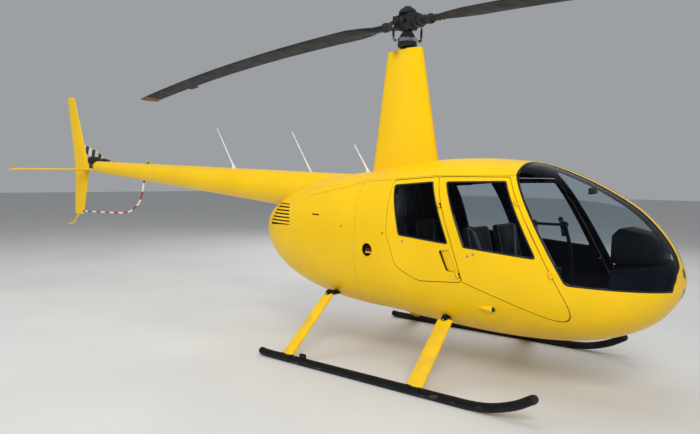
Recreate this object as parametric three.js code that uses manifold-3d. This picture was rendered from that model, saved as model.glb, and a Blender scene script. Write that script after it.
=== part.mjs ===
// A light four-seat helicopter with a two-blade teetering rotor and skid gear.
// Millimetres. +X points to the nose, +Y to the pilots' left, +Z up, and the skids stand on z = 0.
// Inside the aircraft group every station x is measured from the rotor mast's axis.
import * as THREE from 'three';
import { mergeVertices } from 'three/addons/utils/BufferGeometryUtils.js';
import Module from 'manifold-3d';

const wasm = await Module();
wasm.setup();

// Driving dimensions
const MAST_X = 762; // the mast's axis, ahead of the middle of the overall length
const ROTOR_RADIUS = 5030;
const ROTOR_TURN = THREE.MathUtils.degToRad(-5.2); // the front blade, as parked
const HUB_Z = 3150;
const BLADE_CHORD = 254;
const BLADE_THICK = 32;
const TAIL_ROTOR_RADIUS = 736;
const TAIL_AXIS = new THREE.Vector3(-5893, 0, 1895);
const TAIL_ROTOR_TURN = THREE.MathUtils.degToRad(17);
const SKID_Y = 1080;
const SKID_RADIUS = 34;
const WALL = 26; // cabin wall and doors, skin to skin
const COWL_WALL = 18;
const GLASS = 7;
const DOOR_GAP = 6;
const SEAT_GAP = 0.3; // between two pieces that touch
const RING_POINTS = 20;
const FINE_STATIONS = 4; // at each end, where the body is round, every span is halved

// The fuselage, nose first: x, top, bottom, half width, height of the widest point,
// squareness above that height and below it
const STATIONS = [
  [2453, 905, 905, 0, 905, 2.0, 2.0],
  [2437, 1000, 815, 150, 905, 2.0, 2.0],
  [2385, 1135, 720, 262, 910, 2.1, 2.1],
  [2290, 1278, 604, 375, 915, 2.2, 2.2],
  [2140, 1430, 508, 490, 925, 2.3, 2.4],
  [1940, 1560, 434, 580, 945, 2.5, 2.5],
  [1700, 1680, 388, 632, 975, 2.7, 2.6],
  [1400, 1786, 368, 650, 1010, 3.0, 2.8],
  [1000, 1832, 368, 652, 1030, 3.1, 2.9],
  [550, 1830, 390, 645, 1040, 3.1, 2.9],
  [150, 1795, 418, 625, 1050, 3.0, 2.8],
  [-250, 1730, 430, 588, 1055, 2.8, 2.8],
  [-650, 1690, 466, 536, 1060, 2.5, 2.7],
  [-1000, 1640, 535, 474, 1070, 2.3, 2.6],
  [-1300, 1540, 640, 398, 1085, 2.2, 2.5],
  [-1530, 1420, 782, 306, 1100, 2.1, 2.4],
  [-1690, 1310, 950, 184, 1120, 2.0, 2.1],
  [-1750, 1145, 1145, 0, 1145, 2.0, 2.0],
];

// Outlines seen from the side: x, z, corner radius
const FRONT_DOOR = [
  [1914, 550, 124],
  [1300, 1668, 30],
  [694, 1668, 15],
  [769, 1440, 200],
  [889, 1120, 200],
  [988, 836, 30],
];
const REAR_DOOR = [
  [980, 832, 30],
  [881, 1120, 200],
  [761, 1440, 200],
  [686, 1668, 15],
  [236, 1634, 25],
  [226, 1180, 200],
  [330, 900, 150],
  [560, 800, 200],
];
const FRONT_WINDOW = [
  [1589, 1061, 25],
  [1284, 1642, 30],
  [767, 1633, 20],
  [986, 1107, 25],
];
const REAR_WINDOW = [
  [856, 1122, 22],
  [648, 1632, 25],
  [250, 1600, 25],
  [356, 1166, 30],
];
const WINDSHIELD = [
  [2700, 850, 0],
  [2700, 2100, 0],
  [1300, 2100, 0],
  [1335, 1690, 60],
  [1488, 1419, 300],
  [1790, 890, 60],
];
// The seam under the roof cowl, front to back
const ROOF_SEAM = [
  [1800, 1686],
  [1300, 1684],
  [620, 1678],
  [235, 1645],
  [-100, 1622],
  [-400, 1560],
  [-900, 1470],
];
const COWL_SEAM_X = -150; // the firewall, where the cabin shell meets the engine cowl
const STRIP_HALF = 30;
// The right windshield's lower edge round the nose, seen from the front: y, z
const NOSE_EDGE = [
  [-STRIP_HALF, 1100],
  [-60, 1033],
  [-142, 985],
  [-198, 913],
  [-206, 852],
  [-215, 700],
];
const LAMP_HEIGHTS = [978, 836];
const LAMP_RADIUS = 37;
const PORT = { x: 10, z: 1014, radius: 60 };

// Door hinge lines: the lower and the upper hinge on the right side
const HINGES = {
  front: [[1692, -645, 961], [1404, -614, 1477]],
  rear: [[948, -663, 890], [748, -634, 1440]],
};
// From a hinge pin to the frame that carries it, and to the door's own wall
const FRAME_ARM = { front: [28, 38, 0], rear: [4, 62, 0] };
const DOOR_ARM = { front: [-22, 38, 0], rear: [-18, 40, 0] };
const NOTCH_BACK = 13; // a rear door's edge is notched around the frame's arm
// The front door dips as it opens, so the inside of its lower edge is cut back
const DIP_RELIEF = { depth: 5, back: 16, x0: 1440, x1: 1900, top: 800 };

const TAILCONE = { x0: -560, z0: 1469, r0: 224.7, x1: -5660, z1: 1796.2, r1: 84.6, wall: 6 };

// Materials
const finish = (settings) => new THREE.MeshStandardMaterial(settings);
const paint = (color, roughness = 0.25) => finish({ color, roughness, metalness: 0.1 });
const YELLOW = paint(0xf2c40f);
const BLACK = paint(0x17181a, 0.5);
const CHARCOAL = paint(0x2b2c2e, 0.6);
const WHITE = paint(0xe8e8e4, 0.4);
const RED = paint(0xa3201c, 0.3);
const STEEL = finish({ color: 0x9a9c9e, roughness: 0.35, metalness: 0.9 });
const CAST = finish({ color: 0x6b6d70, roughness: 0.6, metalness: 0.7 });
const CLEAR = finish({ color: 0x9fb4bb, roughness: 0.05, transparent: true, opacity: 0.35 });
const LEATHER = finish({ color: 0x2e3033, roughness: 0.6 });
const CARPET = finish({ color: 0x3a3c40, roughness: 0.95 });

// Solids
function solid(geometry) {
  const bare = geometry.clone();
  bare.deleteAttribute('normal');
  bare.deleteAttribute('uv');
  const merged = mergeVertices(bare, 1e-3);
  return new wasm.Manifold(new wasm.Mesh({
    numProp: 3,
    vertProperties: new Float32Array(merged.attributes.position.array),
    triVerts: new Uint32Array(merged.index.array),
  }));
}

function geometryOf(body) {
  const mesh = body.getMesh();
  const geometry = new THREE.BufferGeometry();
  geometry.setAttribute('position', new THREE.BufferAttribute(mesh.vertProperties, 3));
  geometry.setIndex(new THREE.BufferAttribute(mesh.triVerts, 1));
  geometry.computeVertexNormals();
  return geometry;
}

const join = (...bodies) => bodies.reduce((sum, body) => sum.add(body));

// A closed skin through rings of equally many points; a ring of one point is a tip
function loft(rings) {
  const points = rings.flat();
  const faces = [];
  const start = [];
  let count = 0;
  for (const ring of rings) {
    start.push(count);
    count += ring.length;
  }
  for (let i = 0; i + 1 < rings.length; i += 1) {
    const size = Math.max(rings[i].length, rings[i + 1].length);
    for (let j = 0; j < size; j += 1) {
      const k = (j + 1) % size;
      const a = start[i] + (rings[i].length > 1 ? j : 0);
      const b = start[i] + (rings[i].length > 1 ? k : 0);
      const c = start[i + 1] + (rings[i + 1].length > 1 ? k : 0);
      const d = start[i + 1] + (rings[i + 1].length > 1 ? j : 0);
      if (a !== b) faces.push([a, b, c]);
      if (c !== d) faces.push([a, c, d]);
    }
  }
  for (const [i, turned] of [[0, true], [rings.length - 1, false]]) {
    for (let j = 1; j + 1 < rings[i].length; j += 1) {
      const face = [start[i], start[i] + j, start[i] + j + 1];
      faces.push(turned ? face.reverse() : face);
    }
  }
  const build = (list) => {
    const geometry = new THREE.BufferGeometry();
    const numbers = points.flatMap((p) => [p.x, p.y, p.z]);
    geometry.setAttribute('position', new THREE.Float32BufferAttribute(numbers, 3));
    geometry.setIndex(list.flat());
    return geometry;
  };
  const volume = faces.reduce((sum, [a, b, c]) => {
    const cross = new THREE.Vector3().crossVectors(points[b], points[c]);
    return sum + points[a].dot(cross);
  }, 0);
  return build(volume > 0 ? faces : faces.map((face) => [...face].reverse()));
}

// Corners with radii, as a Shape of lines and arcs
function outline(corners) {
  const shape = new THREE.Shape();
  corners.forEach(([x, y, radius], i) => {
    const corner = new THREE.Vector2(x, y);
    const [px, py] = corners[(i + corners.length - 1) % corners.length];
    const [nx, ny] = corners[(i + 1) % corners.length];
    const back = new THREE.Vector2(px, py).sub(corner);
    const ahead = new THREE.Vector2(nx, ny).sub(corner);
    const room = Math.min(back.length(), ahead.length()) * 0.48;
    const reach = Math.min(radius > 0 ? radius / Math.tan(Math.abs(turn(back, ahead)) / 2) : 0, room);
    const from = corner.clone().add(back.setLength(reach));
    const to = corner.clone().add(ahead.setLength(reach));
    if (i === 0) shape.moveTo(from.x, from.y);
    else shape.lineTo(from.x, from.y);
    if (reach > 0) shape.quadraticCurveTo(x, y, to.x, to.y);
  });
  shape.closePath();
  return shape;
}

function turn(a, b) {
  return Math.acos(THREE.MathUtils.clamp(a.dot(b) / (a.length() * b.length()), -1, 1));
}

// The same corners moved out by a gap, or in where it is negative
function grown(corners, gap) {
  const area = corners.reduce((sum, [x, y], i) => {
    const [nx, ny] = corners[(i + 1) % corners.length];
    return sum + x * ny - nx * y;
  }, 0);
  const side = Math.sign(area);
  const edges = corners.map(([x, y], i) => {
    const [nx, ny] = corners[(i + 1) % corners.length];
    const along = new THREE.Vector2(nx - x, ny - y).normalize();
    const out = new THREE.Vector2(along.y, -along.x).multiplyScalar(side * gap);
    return { x: x + out.x, y: y + out.y, along };
  });
  return corners.map(([, , radius], i) => {
    const a = edges[(i + edges.length - 1) % edges.length];
    const b = edges[i];
    const cross = a.along.x * b.along.y - a.along.y * b.along.x;
    const t = ((b.x - a.x) * b.along.y - (b.y - a.y) * b.along.x) / cross;
    return [a.x + a.along.x * t, a.y + a.along.y * t, radius > 0 ? Math.max(radius + gap, 1) : 0];
  });
}

const slab = (corners, depth) => (
  new THREE.ExtrudeGeometry(outline(corners), { depth, bevelEnabled: false, curveSegments: 4 }));

// A side outline pushed through the aircraft from y0 to y1
function sideBlock(corners, y0, y1) {
  const geometry = slab(corners, y1 - y0);
  geometry.rotateX(Math.PI / 2);
  geometry.translate(0, y1, 0);
  return geometry;
}

// A front outline, of y and z, pushed along the aircraft from x0 to x1
function frontBlock(corners, x0, x1) {
  const geometry = slab(corners, x1 - x0);
  geometry.rotateX(Math.PI / 2);
  geometry.rotateZ(Math.PI / 2);
  geometry.translate(x0, 0, 0);
  return geometry;
}

const block = (x0, x1, y0, y1, z0, z1) => new THREE.BoxGeometry(x1 - x0, y1 - y0, z1 - z0)
  .translate((x0 + x1) / 2, (y0 + y1) / 2, (z0 + z1) / 2);

// A rod between two points
function rod(a, b, radius, sides = 10, endRadius = radius) {
  const from = new THREE.Vector3(...a);
  const to = new THREE.Vector3(...b);
  const along = to.clone().sub(from);
  const geometry = new THREE.CylinderGeometry(endRadius, radius, along.length(), sides);
  const upright = new THREE.Vector3(0, 1, 0);
  geometry.applyQuaternion(new THREE.Quaternion().setFromUnitVectors(upright, along.normalize()));
  return geometry.translate(...from.add(to).multiplyScalar(0.5).toArray());
}

// A round bar along a smooth path
function bar(points, radius, steps = 16, sides = 8) {
  const path = new THREE.CatmullRomCurve3(points.map((p) => new THREE.Vector3(...p)), false, 'centripetal');
  const section = new THREE.Shape();
  for (let i = 0; i < sides; i += 1) {
    const angle = (i / sides) * 2 * Math.PI;
    const at = [radius * Math.cos(angle), radius * Math.sin(angle)];
    if (i === 0) section.moveTo(...at);
    else section.lineTo(...at);
  }
  return new THREE.ExtrudeGeometry(section, { steps, extrudePath: path, bevelEnabled: false });
}

// A blade section, thickest at three tenths of its chord: leading edge at +half chord
function bladeSection(chord, thick, points = 12) {
  return Array.from({ length: points }, (_, i) => {
    const angle = (i / points) * 2 * Math.PI;
    const along = Math.cos(angle);
    const shoulder = Math.sin(angle) * (0.75 + 0.25 * along);
    return [(chord / 2) * along, (thick / 2) * shoulder];
  });
}

// The fuselage surface
function smooth(a, b, c, d, t) {
  const square = 2 * a - 5 * b + 4 * c - d;
  const cube = 3 * b - a - 3 * c + d;
  return 0.5 * (2 * b + (c - a) * t + square * t * t + cube * t * t * t);
}

// The stations' columns at a place between them; past each tip the body is its own mirror image
function station(place) {
  const last = STATIONS.length - 1;
  const row = (i) => {
    const mirror = (tip, other) => other.map((value, column) => (
      column === 1 || column === 2 ? 2 * tip[column] - value : column === 3 ? -value : value));
    if (i < 0) return mirror(STATIONS[0], STATIONS[1]);
    if (i > last) return mirror(STATIONS[last], STATIONS[last - 1]);
    return STATIONS[i];
  };
  const i = Math.min(Math.floor(place), last - 1);
  return STATIONS[0].map((_, column) => (
    smooth(row(i - 1)[column], row(i)[column], row(i + 1)[column], row(i + 2)[column], place - i)));
}

const LAST = STATIONS.length - 1;
const PLACES = STATIONS.flatMap((_, i) => (
  i < LAST && (i < FINE_STATIONS || i >= LAST - FINE_STATIONS) ? [i, i + 0.5] : [i]));
const BODY_MIDDLE = (STATIONS[0][0] + STATIONS.at(-1)[0]) / 2;
const BODY_HALF = (STATIONS[0][0] - STATIONS.at(-1)[0]) / 2;
const FULL_DEPTH = 220; // a section smaller than this is thinned by less than the whole wall

// The body's outer form, or the form a depth inside it
function bodySolid(depth = 0) {
  const rings = [];
  for (const place of PLACES) {
    const [x, top, bottom, half, wide, squareTop, squareBottom] = station(place);
    const at = BODY_MIDDLE + (x - BODY_MIDDLE) * (1 - depth / BODY_HALF);
    if (half <= 0.01) {
      rings.push([new THREE.Vector3(at, 0, wide)]);
      continue;
    }
    const thin = (size) => size - depth * Math.min(1, size / FULL_DEPTH);
    rings.push(Array.from({ length: RING_POINTS }, (_, i) => {
      const angle = ((i + 0.5) / RING_POINTS) * 2 * Math.PI;
      const c = Math.cos(angle);
      const s = Math.sin(angle);
      const square = s > 0 ? squareTop : squareBottom;
      const rise = s > 0 ? thin(top - wide) : thin(wide - bottom);
      const reach = (Math.abs(c) ** square + Math.abs(s) ** square) ** (-1 / square);
      return new THREE.Vector3(at, thin(half) * c * reach, wide + rise * s * reach);
    }));
  }
  return solid(loft(rings));
}

const body = bodySolid();
const cavity = bodySolid(WALL);
const shell = body.subtract(cavity);

const aircraft = new THREE.Group();
aircraft.position.x = MAST_X;

function add(name, shape, material, parent = aircraft) {
  const mesh = new THREE.Mesh(shape.isBufferGeometry ? shape : geometryOf(shape), material);
  mesh.name = name;
  parent.add(mesh);
  return mesh;
}

const mirrorY = (shape) => shape.mirror([0, 1, 0]);
const sides = [['right', (shape) => shape], ['left', mirrorY]];

// Cutters for one side, outboard of the centre strip
const reachOut = (corners, inner) => solid(sideBlock(corners, -900, -inner));
const bothSides = (shape) => join(shape, mirrorY(shape));
const noseCheeks = solid(frontBlock([
  [-STRIP_HALF, 2100, 0],
  ...NOSE_EDGE.map(([y, z]) => [y, z, 0]),
  [-900, 700, 0],
  [-900, 2100, 0],
], 1200, 2600));
const glassRoom = (gap) => solid(sideBlock(grown(WINDSHIELD, gap), -900, 0))
  .intersect(noseCheeks.translate([0, gap, 0]));
const doorRoom = (corners, gap) => reachOut(grown(corners, gap), 300);

// Roof line cutter: all that lies above the seam
const aboveSeam = (gap) => solid(sideBlock([
  ...ROOF_SEAM.map(([x, z]) => [x, z + gap, 0]),
  [-900, 2100, 0],
  [1800, 2100, 0],
], -900, 900));

const cone = (grow) => {
  const along = new THREE.Vector3(TAILCONE.x1 - TAILCONE.x0, 0, TAILCONE.z1 - TAILCONE.z0).normalize();
  const lean = Math.atan2(TAILCONE.z1 - TAILCONE.z0, TAILCONE.x0 - TAILCONE.x1);
  const length = Math.hypot(TAILCONE.x1 - TAILCONE.x0, TAILCONE.z1 - TAILCONE.z0);
  const { r0, r1 } = TAILCONE;
  const geometry = new THREE.CylinderGeometry(r1 + grow, r0 + grow, length + 2 * grow, 20);
  geometry.rotateZ(Math.PI / 2);
  geometry.rotateY(lean);
  geometry.translate(TAILCONE.x0 + (along.x * length) / 2, 0, TAILCONE.z0 + (along.z * length) / 2);
  return solid(geometry);
};

// Doors: a panel with its hinge knuckles, and a pane
const KNUCKLE = 9;
const KNUCKLE_LONG = 24;
const ARM_RADIUS = 7;
const paneShell = bodySolid(8).subtract(bodySolid(13));
const doors = { front: [FRONT_DOOR, FRONT_WINDOW], rear: [REAR_DOOR, REAR_WINDOW] };
const frameKnuckles = [];
const dipRelief = bodySolid(DIP_RELIEF.depth)
  .intersect(solid(block(DIP_RELIEF.x0, DIP_RELIEF.x1, -900, -300, 500, DIP_RELIEF.top)))
  .subtract(doorRoom(FRONT_DOOR, -DIP_RELIEF.back));
for (const [row, [outlineOf, windowOf]] of Object.entries(doors)) {
  const [bottom, top] = HINGES[row].map((p) => new THREE.Vector3(...p));
  const axis = top.clone().sub(bottom).normalize();
  const notches = [];
  const knuckles = [bottom, top].map((at) => {
    const end = at.clone().addScaledVector(axis, KNUCKLE_LONG);
    const middle = at.clone().addScaledVector(axis, KNUCKLE_LONG / 2);
    const skin = middle.clone().add(new THREE.Vector3(...DOOR_ARM[row]));
    const foot = at.clone().addScaledVector(axis, -KNUCKLE_LONG);
    const low = at.clone().addScaledVector(axis, -KNUCKLE_LONG / 2);
    const root = low.clone().add(new THREE.Vector3(...FRAME_ARM[row]));
    const stop = at.clone().addScaledVector(axis, -1);
    frameKnuckles.push(
      solid(rod(foot.toArray(), stop.toArray(), KNUCKLE, 8)),
      solid(rod(low.toArray(), root.toArray(), ARM_RADIUS, 6)),
    );
    if (row === 'rear') {
      notches.push(solid(block(at.x - NOTCH_BACK, at.x + 40, -900, -300, low.z - 15, low.z + 26)));
    }
    return join(
      solid(rod(at.toArray(), end.toArray(), KNUCKLE, 8)),
      solid(rod(middle.toArray(), skin.toArray(), ARM_RADIUS, 6)),
    );
  });
  const cuts = row === 'front' ? [dipRelief] : notches;
  const panel = shell
    .intersect(doorRoom(outlineOf, 0))
    .subtract(join(reachOut(windowOf, 300), ...cuts))
    .add(join(...knuckles).subtract(cavity).subtract(reachOut(windowOf, 300)));
  const pane = paneShell.intersect(reachOut(grown(windowOf, -SEAT_GAP), 300));
  for (const [side, place] of sides) {
    add(`${row}_door_${side}`, place(panel), YELLOW);
    add(`${row}_door_window_${side}`, place(pane), CLEAR);
  }
}

// Mast fairing: a streamlined tower from under the roof to the swashplate
const MAST_TUBE = 52;
function mastFairing(grow) {
  const ring = (front, back, z, thick) => bladeSection(front - back + 2 * grow, thick + 2 * grow, 20)
    .map(([a, b]) => new THREE.Vector3((front + back) / 2 + a, b, z));
  return solid(loft([ring(392, -392, 1640 - grow, 236), ring(174, -221, 2885 + grow, 150)]));
}

// Two lamps on one plate in the nose
function lightRoom(grow) {
  const radius = LAMP_RADIUS + grow;
  const [high, low] = LAMP_HEIGHTS;
  const lamps = LAMP_HEIGHTS.map((z) => solid(rod([2360, 0, z], [2446, 0, z], radius, 16)));
  const plate = block(2350 - grow, 2366 + grow, -radius, radius, low - radius, high + radius);
  return join(...lamps, solid(plate));
}

// The largest of a body's separate pieces
function biggest(shape) {
  return shape.decompose().reduce((best, piece) => (piece.volume() > best.volume() ? piece : best));
}

// Cabin shell: the tub, pillars and the side panels behind the rear doors
const windshieldHole = bothSides(glassRoom(SEAT_GAP));
const stripBlock = solid(frontBlock([
  [-STRIP_HALF, 1120, 0],
  [STRIP_HALF, 1120, 0],
  [STRIP_HALF, 2100, 0],
  [-STRIP_HALF, 2100, 0],
], 1340, 2600));
const doorHoles = bothSides(join(doorRoom(FRONT_DOOR, DOOR_GAP), doorRoom(REAR_DOOR, DOOR_GAP)));
const aftOfSeam = solid(block(-2000, COWL_SEAM_X, -900, 900, 0, 2100));
const roofFront = solid(block(-2000, 1340, -900, 900, 0, 2100));
const roofPart = aboveSeam(0).intersect(roofFront);

const postBand = solid(sideBlock([
  [1038, 740, 0],
  [933, 1120, 0],
  [813, 1440, 0],
  [743, 1650, 0],
  [673, 1650, 0],
  [743, 1440, 0],
  [863, 1120, 0],
  [968, 740, 0],
], -900, -300));
const postDepth = WALL + 6;
const postShell = bodySolid(postDepth).subtract(bodySolid(postDepth + 26));
const postFootShell = bodySolid(WALL - 10).subtract(bodySolid(postDepth + 26));
const postFoot = solid(block(900, 1100, -900, -300, 740, 800));
const post = join(
  postShell.intersect(postBand),
  postFootShell.intersect(postBand).intersect(postFoot),
);

const cabinShell = shell
  .subtract(roofPart)
  .subtract(solid(block(-2000, COWL_SEAM_X + SEAT_GAP, -900, 900, 0, 2100)))
  .subtract(windshieldHole)
  .subtract(doorHoles)
  .subtract(stripBlock)
  .add(bothSides(post))
  .add(bothSides(join(...frameKnuckles)));

// Roof cowl over the cabin and the front of the engine bay
const roofCowl = shell
  .intersect(aboveSeam(SEAT_GAP))
  .intersect(solid(block(-900, 1340 - SEAT_GAP, -900, 900, 0, 2100)))
  .subtract(mastFairing(SEAT_GAP))
  .subtract(windshieldHole)
  .subtract(cone(SEAT_GAP));
add('roof_cowl', biggest(roofCowl), YELLOW);
const mastTubeRoom = solid(rod([0, 0, 2530], [0, 0, 3000], MAST_TUBE + SEAT_GAP, 16));
add('mast_fairing', mastFairing(0).subtract(mastTubeRoom), YELLOW);

// Windshield strip down to the nose lights
const strip = shell.intersect(solid(frontBlock([
  [-STRIP_HALF + SEAT_GAP, 1120 + SEAT_GAP, 0],
  [STRIP_HALF - SEAT_GAP, 1120 + SEAT_GAP, 0],
  [STRIP_HALF - SEAT_GAP, 2100, 0],
  [-STRIP_HALF + SEAT_GAP, 2100, 0],
], 1340, 2600)));
add('windshield_strip', strip, YELLOW);

const glassShell = bodySolid(4).subtract(bodySolid(4 + GLASS));
for (const [side, place] of sides) {
  add(`windshield_${side}`, place(glassShell.intersect(glassRoom(-SEAT_GAP))), CLEAR);
}

// Engine cowl with its rounded end under the tail cone
const cowlShell = body.subtract(bodySolid(COWL_WALL));
const engineCowl = cowlShell
  .intersect(aftOfSeam)
  .subtract(aboveSeam(0))
  .subtract(cone(SEAT_GAP));

// Skid gear: two skids, four faired struts and two cross tubes through the belly
const STRUTS = {
  front: { x: 825, topX: 772, topZ: 482, chord: 150, thick: 52, footZ: 66 },
  rear: { x: -525, topX: -505, topZ: 545, chord: 128, thick: 48, footZ: 66 },
};
const STRUT_TOP_Y = 520;
const TUBE_RADIUS = 26;
const ELBOW_RADIUS = 40;
// The skid's centre line: a straight run on the ground, then a turned-up toe
const skidPath = [
  [-842, 42],
  ...[-760, -400, 0, 400, 800, 1150].map((x) => [x, SKID_RADIUS]),
  [1330, SKID_RADIUS + 3], [1480, 58], [1640, 112], [1772, 186],
];
const SHOE = { x0: -700, x1: 1300, half: 16, high: 14 };
const LUG = { x: -330, long: 70, thick: 16, top: 104 };
const skidTube = (radius) => (
  solid(bar(skidPath.map(([x, z]) => [x, -SKID_Y, z]), radius, 20, 10)));
const upright = (x0, x1, half, z0, z1) => (
  solid(block(x0, x1, -SKID_Y - half, -SKID_Y + half, z0, z1)));
const skid = join(
  skidTube(SKID_RADIUS),
  upright(SHOE.x0, SHOE.x1, SHOE.half, 0, SHOE.high),
  upright(LUG.x - LUG.long / 2, LUG.x + LUG.long / 2, LUG.thick / 2, SKID_RADIUS, LUG.top),
);
const crossTubes = {};
const struts = {};
for (const [row, { x, topX, topZ, chord, thick, footZ }] of Object.entries(STRUTS)) {
  const elbow = solid(new THREE.SphereGeometry(ELBOW_RADIUS, 12, 8).translate(topX, -STRUT_TOP_Y, topZ));
  crossTubes[row] = join(
    solid(rod([topX, -STRUT_TOP_Y, topZ], [topX, STRUT_TOP_Y, topZ], TUBE_RADIUS, 12)),
    bothSides(elbow),
  );
  const down = new THREE.Vector3(x - topX, STRUT_TOP_Y - SKID_Y, footZ - topZ).normalize();
  const across = new THREE.Vector3(1, 0, 0).addScaledVector(down, -down.x).normalize();
  const out = new THREE.Vector3().crossVectors(down, across);
  const ring = (centre, size, depth) => bladeSection(size, depth).map(([a, b]) => (
    centre.clone().addScaledVector(across, a).addScaledVector(out, b)));
  const top = new THREE.Vector3(topX, -STRUT_TOP_Y, topZ).addScaledVector(down, 12);
  const foot = new THREE.Vector3(x, -SKID_Y, footZ - 12);
  const elbowRoom = solid(new THREE.SphereGeometry(ELBOW_RADIUS + 0.8, 12, 8)
    .translate(topX, -STRUT_TOP_Y, topZ));
  struts[row] = solid(loft([ring(top, chord * 0.92, thick * 0.92), ring(foot, chord, thick)]))
    .subtract(elbowRoom)
    .subtract(skidTube(SKID_RADIUS + 0.8));
  add(`${row}_cross_tube`, crossTubes[row], BLACK);
  for (const [side, place] of sides) {
    add(`${row}_strut_${side}`, place(biggest(struts[row])), YELLOW);
  }
}
for (const [side, place] of sides) add(`skid_${side}`, place(skid), BLACK);
const gearRoom = join(...Object.values(STRUTS).map(({ topX, topZ }) => join(
  solid(rod([topX, -900, topZ], [topX, 900, topZ], TUBE_RADIUS + 0.5, 12)),
  bothSides(solid(new THREE.SphereGeometry(ELBOW_RADIUS + 5, 12, 8).translate(topX, -STRUT_TOP_Y, topZ))),
)), ...Object.values(struts).map((strut) => bothSides(strut.translate([0, 0, 6]))));

// Exhaust, engine block and firewall
const EXHAUST_PATH = [[-1180, 120, 700], [-1210, 120, 640], [-1250, 120, 580], [-1310, 120, 530]];
const EXHAUST_RADIUS = 34;
const exhaust = solid(bar(EXHAUST_PATH, EXHAUST_RADIUS, 6, 10));
const exhaustRoom = solid(bar(EXHAUST_PATH, EXHAUST_RADIUS + 0.8, 6, 10));
const engineMounts = [-210, 210]
  .map((y) => solid(block(-340, COWL_SEAM_X + 4.7, y - 22, y + 22, 690, 740)));
add('engine_block', join(
  solid(block(-980, -330, -265, 265, 690, 1080)),
  solid(block(-1225, -970, 60, 180, 700.3, 800)),
  ...engineMounts,
), CAST);
add('exhaust_pipe', exhaust.intersect(solid(block(-1500, -1100, 0, 300, 400, 700))), STEEL);
add('firewall', bodySolid(WALL + 0.6)
  .intersect(solid(block(COWL_SEAM_X + 5, COWL_SEAM_X + 19, -900, 900, 0, 1640)))
  .subtract(mastFairing(1)), STEEL);

add('engine_cowl', engineCowl.subtract(gearRoom).subtract(exhaustRoom), YELLOW);
const sidePort = solid(rod([PORT.x, -900, PORT.z], [PORT.x, -300, PORT.z], PORT.radius, 16));
add('cabin_shell', cabinShell.subtract(gearRoom).subtract(lightRoom(SEAT_GAP)).subtract(sidePort), YELLOW);

// Nose landing lights
add('landing_lights', lightRoom(0), STEEL);

// Cabin floor, seats and controls
const FLOOR_Z = 550;
const inside = bodySolid(WALL + 0.6);
const FLOOR_FRONT = 2120;
const FOOT_MAT = { x0: 1480, x1: 1840, y0: 60, y1: 380, thick: 4 };
const floorSlab = solid(block(COWL_SEAM_X + 19.3, FLOOR_FRONT, -900, 900, FLOOR_Z - 18, FLOOR_Z));
const { x0: matBack, x1: matFront, y0: matIn, y1: matOut, thick: matThick } = FOOT_MAT;
const footMat = solid(block(matBack, matFront, matIn, matOut, FLOOR_Z - 9, FLOOR_Z + matThick));
add('cabin_floor', inside.intersect(floorSlab).add(bothSides(footMat)), CARPET);
const seatRows = {
  front: { x: 930, boxLong: 470, cushionX: 950 },
  rear: { x: 20, boxLong: 520, cushionX: 90 },
};
const SEAT_BOX_TOP = 800;
const BOX_WALL = 12;
for (const [row, { x, boxLong, cushionX }] of Object.entries(seatRows)) {
  const half = 410;
  add(`${row}_seat_box`, solid(block(x, x + boxLong, -half, half, FLOOR_Z + SEAT_GAP, SEAT_BOX_TOP))
    .subtract(solid(block(x + BOX_WALL, x + boxLong - BOX_WALL, -half + BOX_WALL, half - BOX_WALL,
      FLOOR_Z - 5, SEAT_BOX_TOP - BOX_WALL)))
    .intersect(inside), CARPET);
  for (const [side, place] of sides) {
    const cushion = sideBlock([
      [cushionX, SEAT_BOX_TOP + SEAT_GAP, 20],
      [cushionX + 450, SEAT_BOX_TOP + SEAT_GAP, 20],
      [cushionX + 450, SEAT_BOX_TOP + 95, 40],
      [cushionX - 40, SEAT_BOX_TOP + 85, 12],
      [cushionX - 40, SEAT_BOX_TOP + 60, 12],
    ], -500, -60);
    const back = sideBlock([
      [cushionX - 30, SEAT_BOX_TOP + 85.2 + SEAT_GAP, 8],
      [cushionX + 80, SEAT_BOX_TOP + 87.5 + SEAT_GAP, 8],
      [cushionX - 10, SEAT_BOX_TOP + 470, 35],
      [cushionX - 90, SEAT_BOX_TOP + 470, 35],
    ], -490, -70);
    add(`${row}_seat_cushion_${side}`, place(solid(cushion).intersect(inside)), LEATHER);
    add(`${row}_seat_back_${side}`, place(solid(back).intersect(inside)), LEATHER);
  }
}
const PANEL = [
  [1970, 1030, 20],
  [1975, 1240, 30],
  [2030, 1298, 30],
  [2190, 1262, 30],
  [2300, 1190, 40],
  [2325, 1040, 20],
];
const PEDESTAL = [
  [1950, FLOOR_Z + SEAT_GAP, 0],
  [FLOOR_FRONT, FLOOR_Z + SEAT_GAP, 0],
  [2230, 1040, 0],
  [1990, 1040, 0],
];
add('instrument_console', join(
  solid(sideBlock(PANEL, -165, 165)),
  solid(sideBlock(PEDESTAL, -110, 110)),
).intersect(inside), BLACK);
add('cyclic_stick', join(
  solid(bar([[1640, 0, FLOOR_Z + SEAT_GAP], [1640, 0, 800], [1610, 0, 1100], [1560, 0, 1300]], 15, 6, 8)),
  solid(rod([1560, 0, 1290], [1420, -290, 1310], 11, 8)),
  solid(rod([1560, 0, 1290], [1420, 290, 1310], 11, 8)),
  solid(rod([1420, -290, 1330], [1455, -290, 1170], 17, 8)),
  solid(rod([1420, 290, 1330], [1455, 290, 1170], 17, 8)),
), BLACK);
for (const [side, place] of sides) {
  add(`pedals_${side}`, place(join(
    solid(block(1868, 1892, -350, -180, FLOOR_Z + SEAT_GAP, FLOOR_Z + 24)),
    ...[-320, -210].map((y) => join(
      solid(rod([1880, y, FLOOR_Z + 12], [1880, y, 700], 9, 8)),
      solid(block(1868, 1884, y - 36, y + 36, 690, 760)),
    )),
  )), BLACK);
}
const LEVER_PATH = [[1000, 0, 780], [1000, 0, 840], [1080, 0, 900], [1240, 0, 975], [1400, 0, 1025]];
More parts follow.
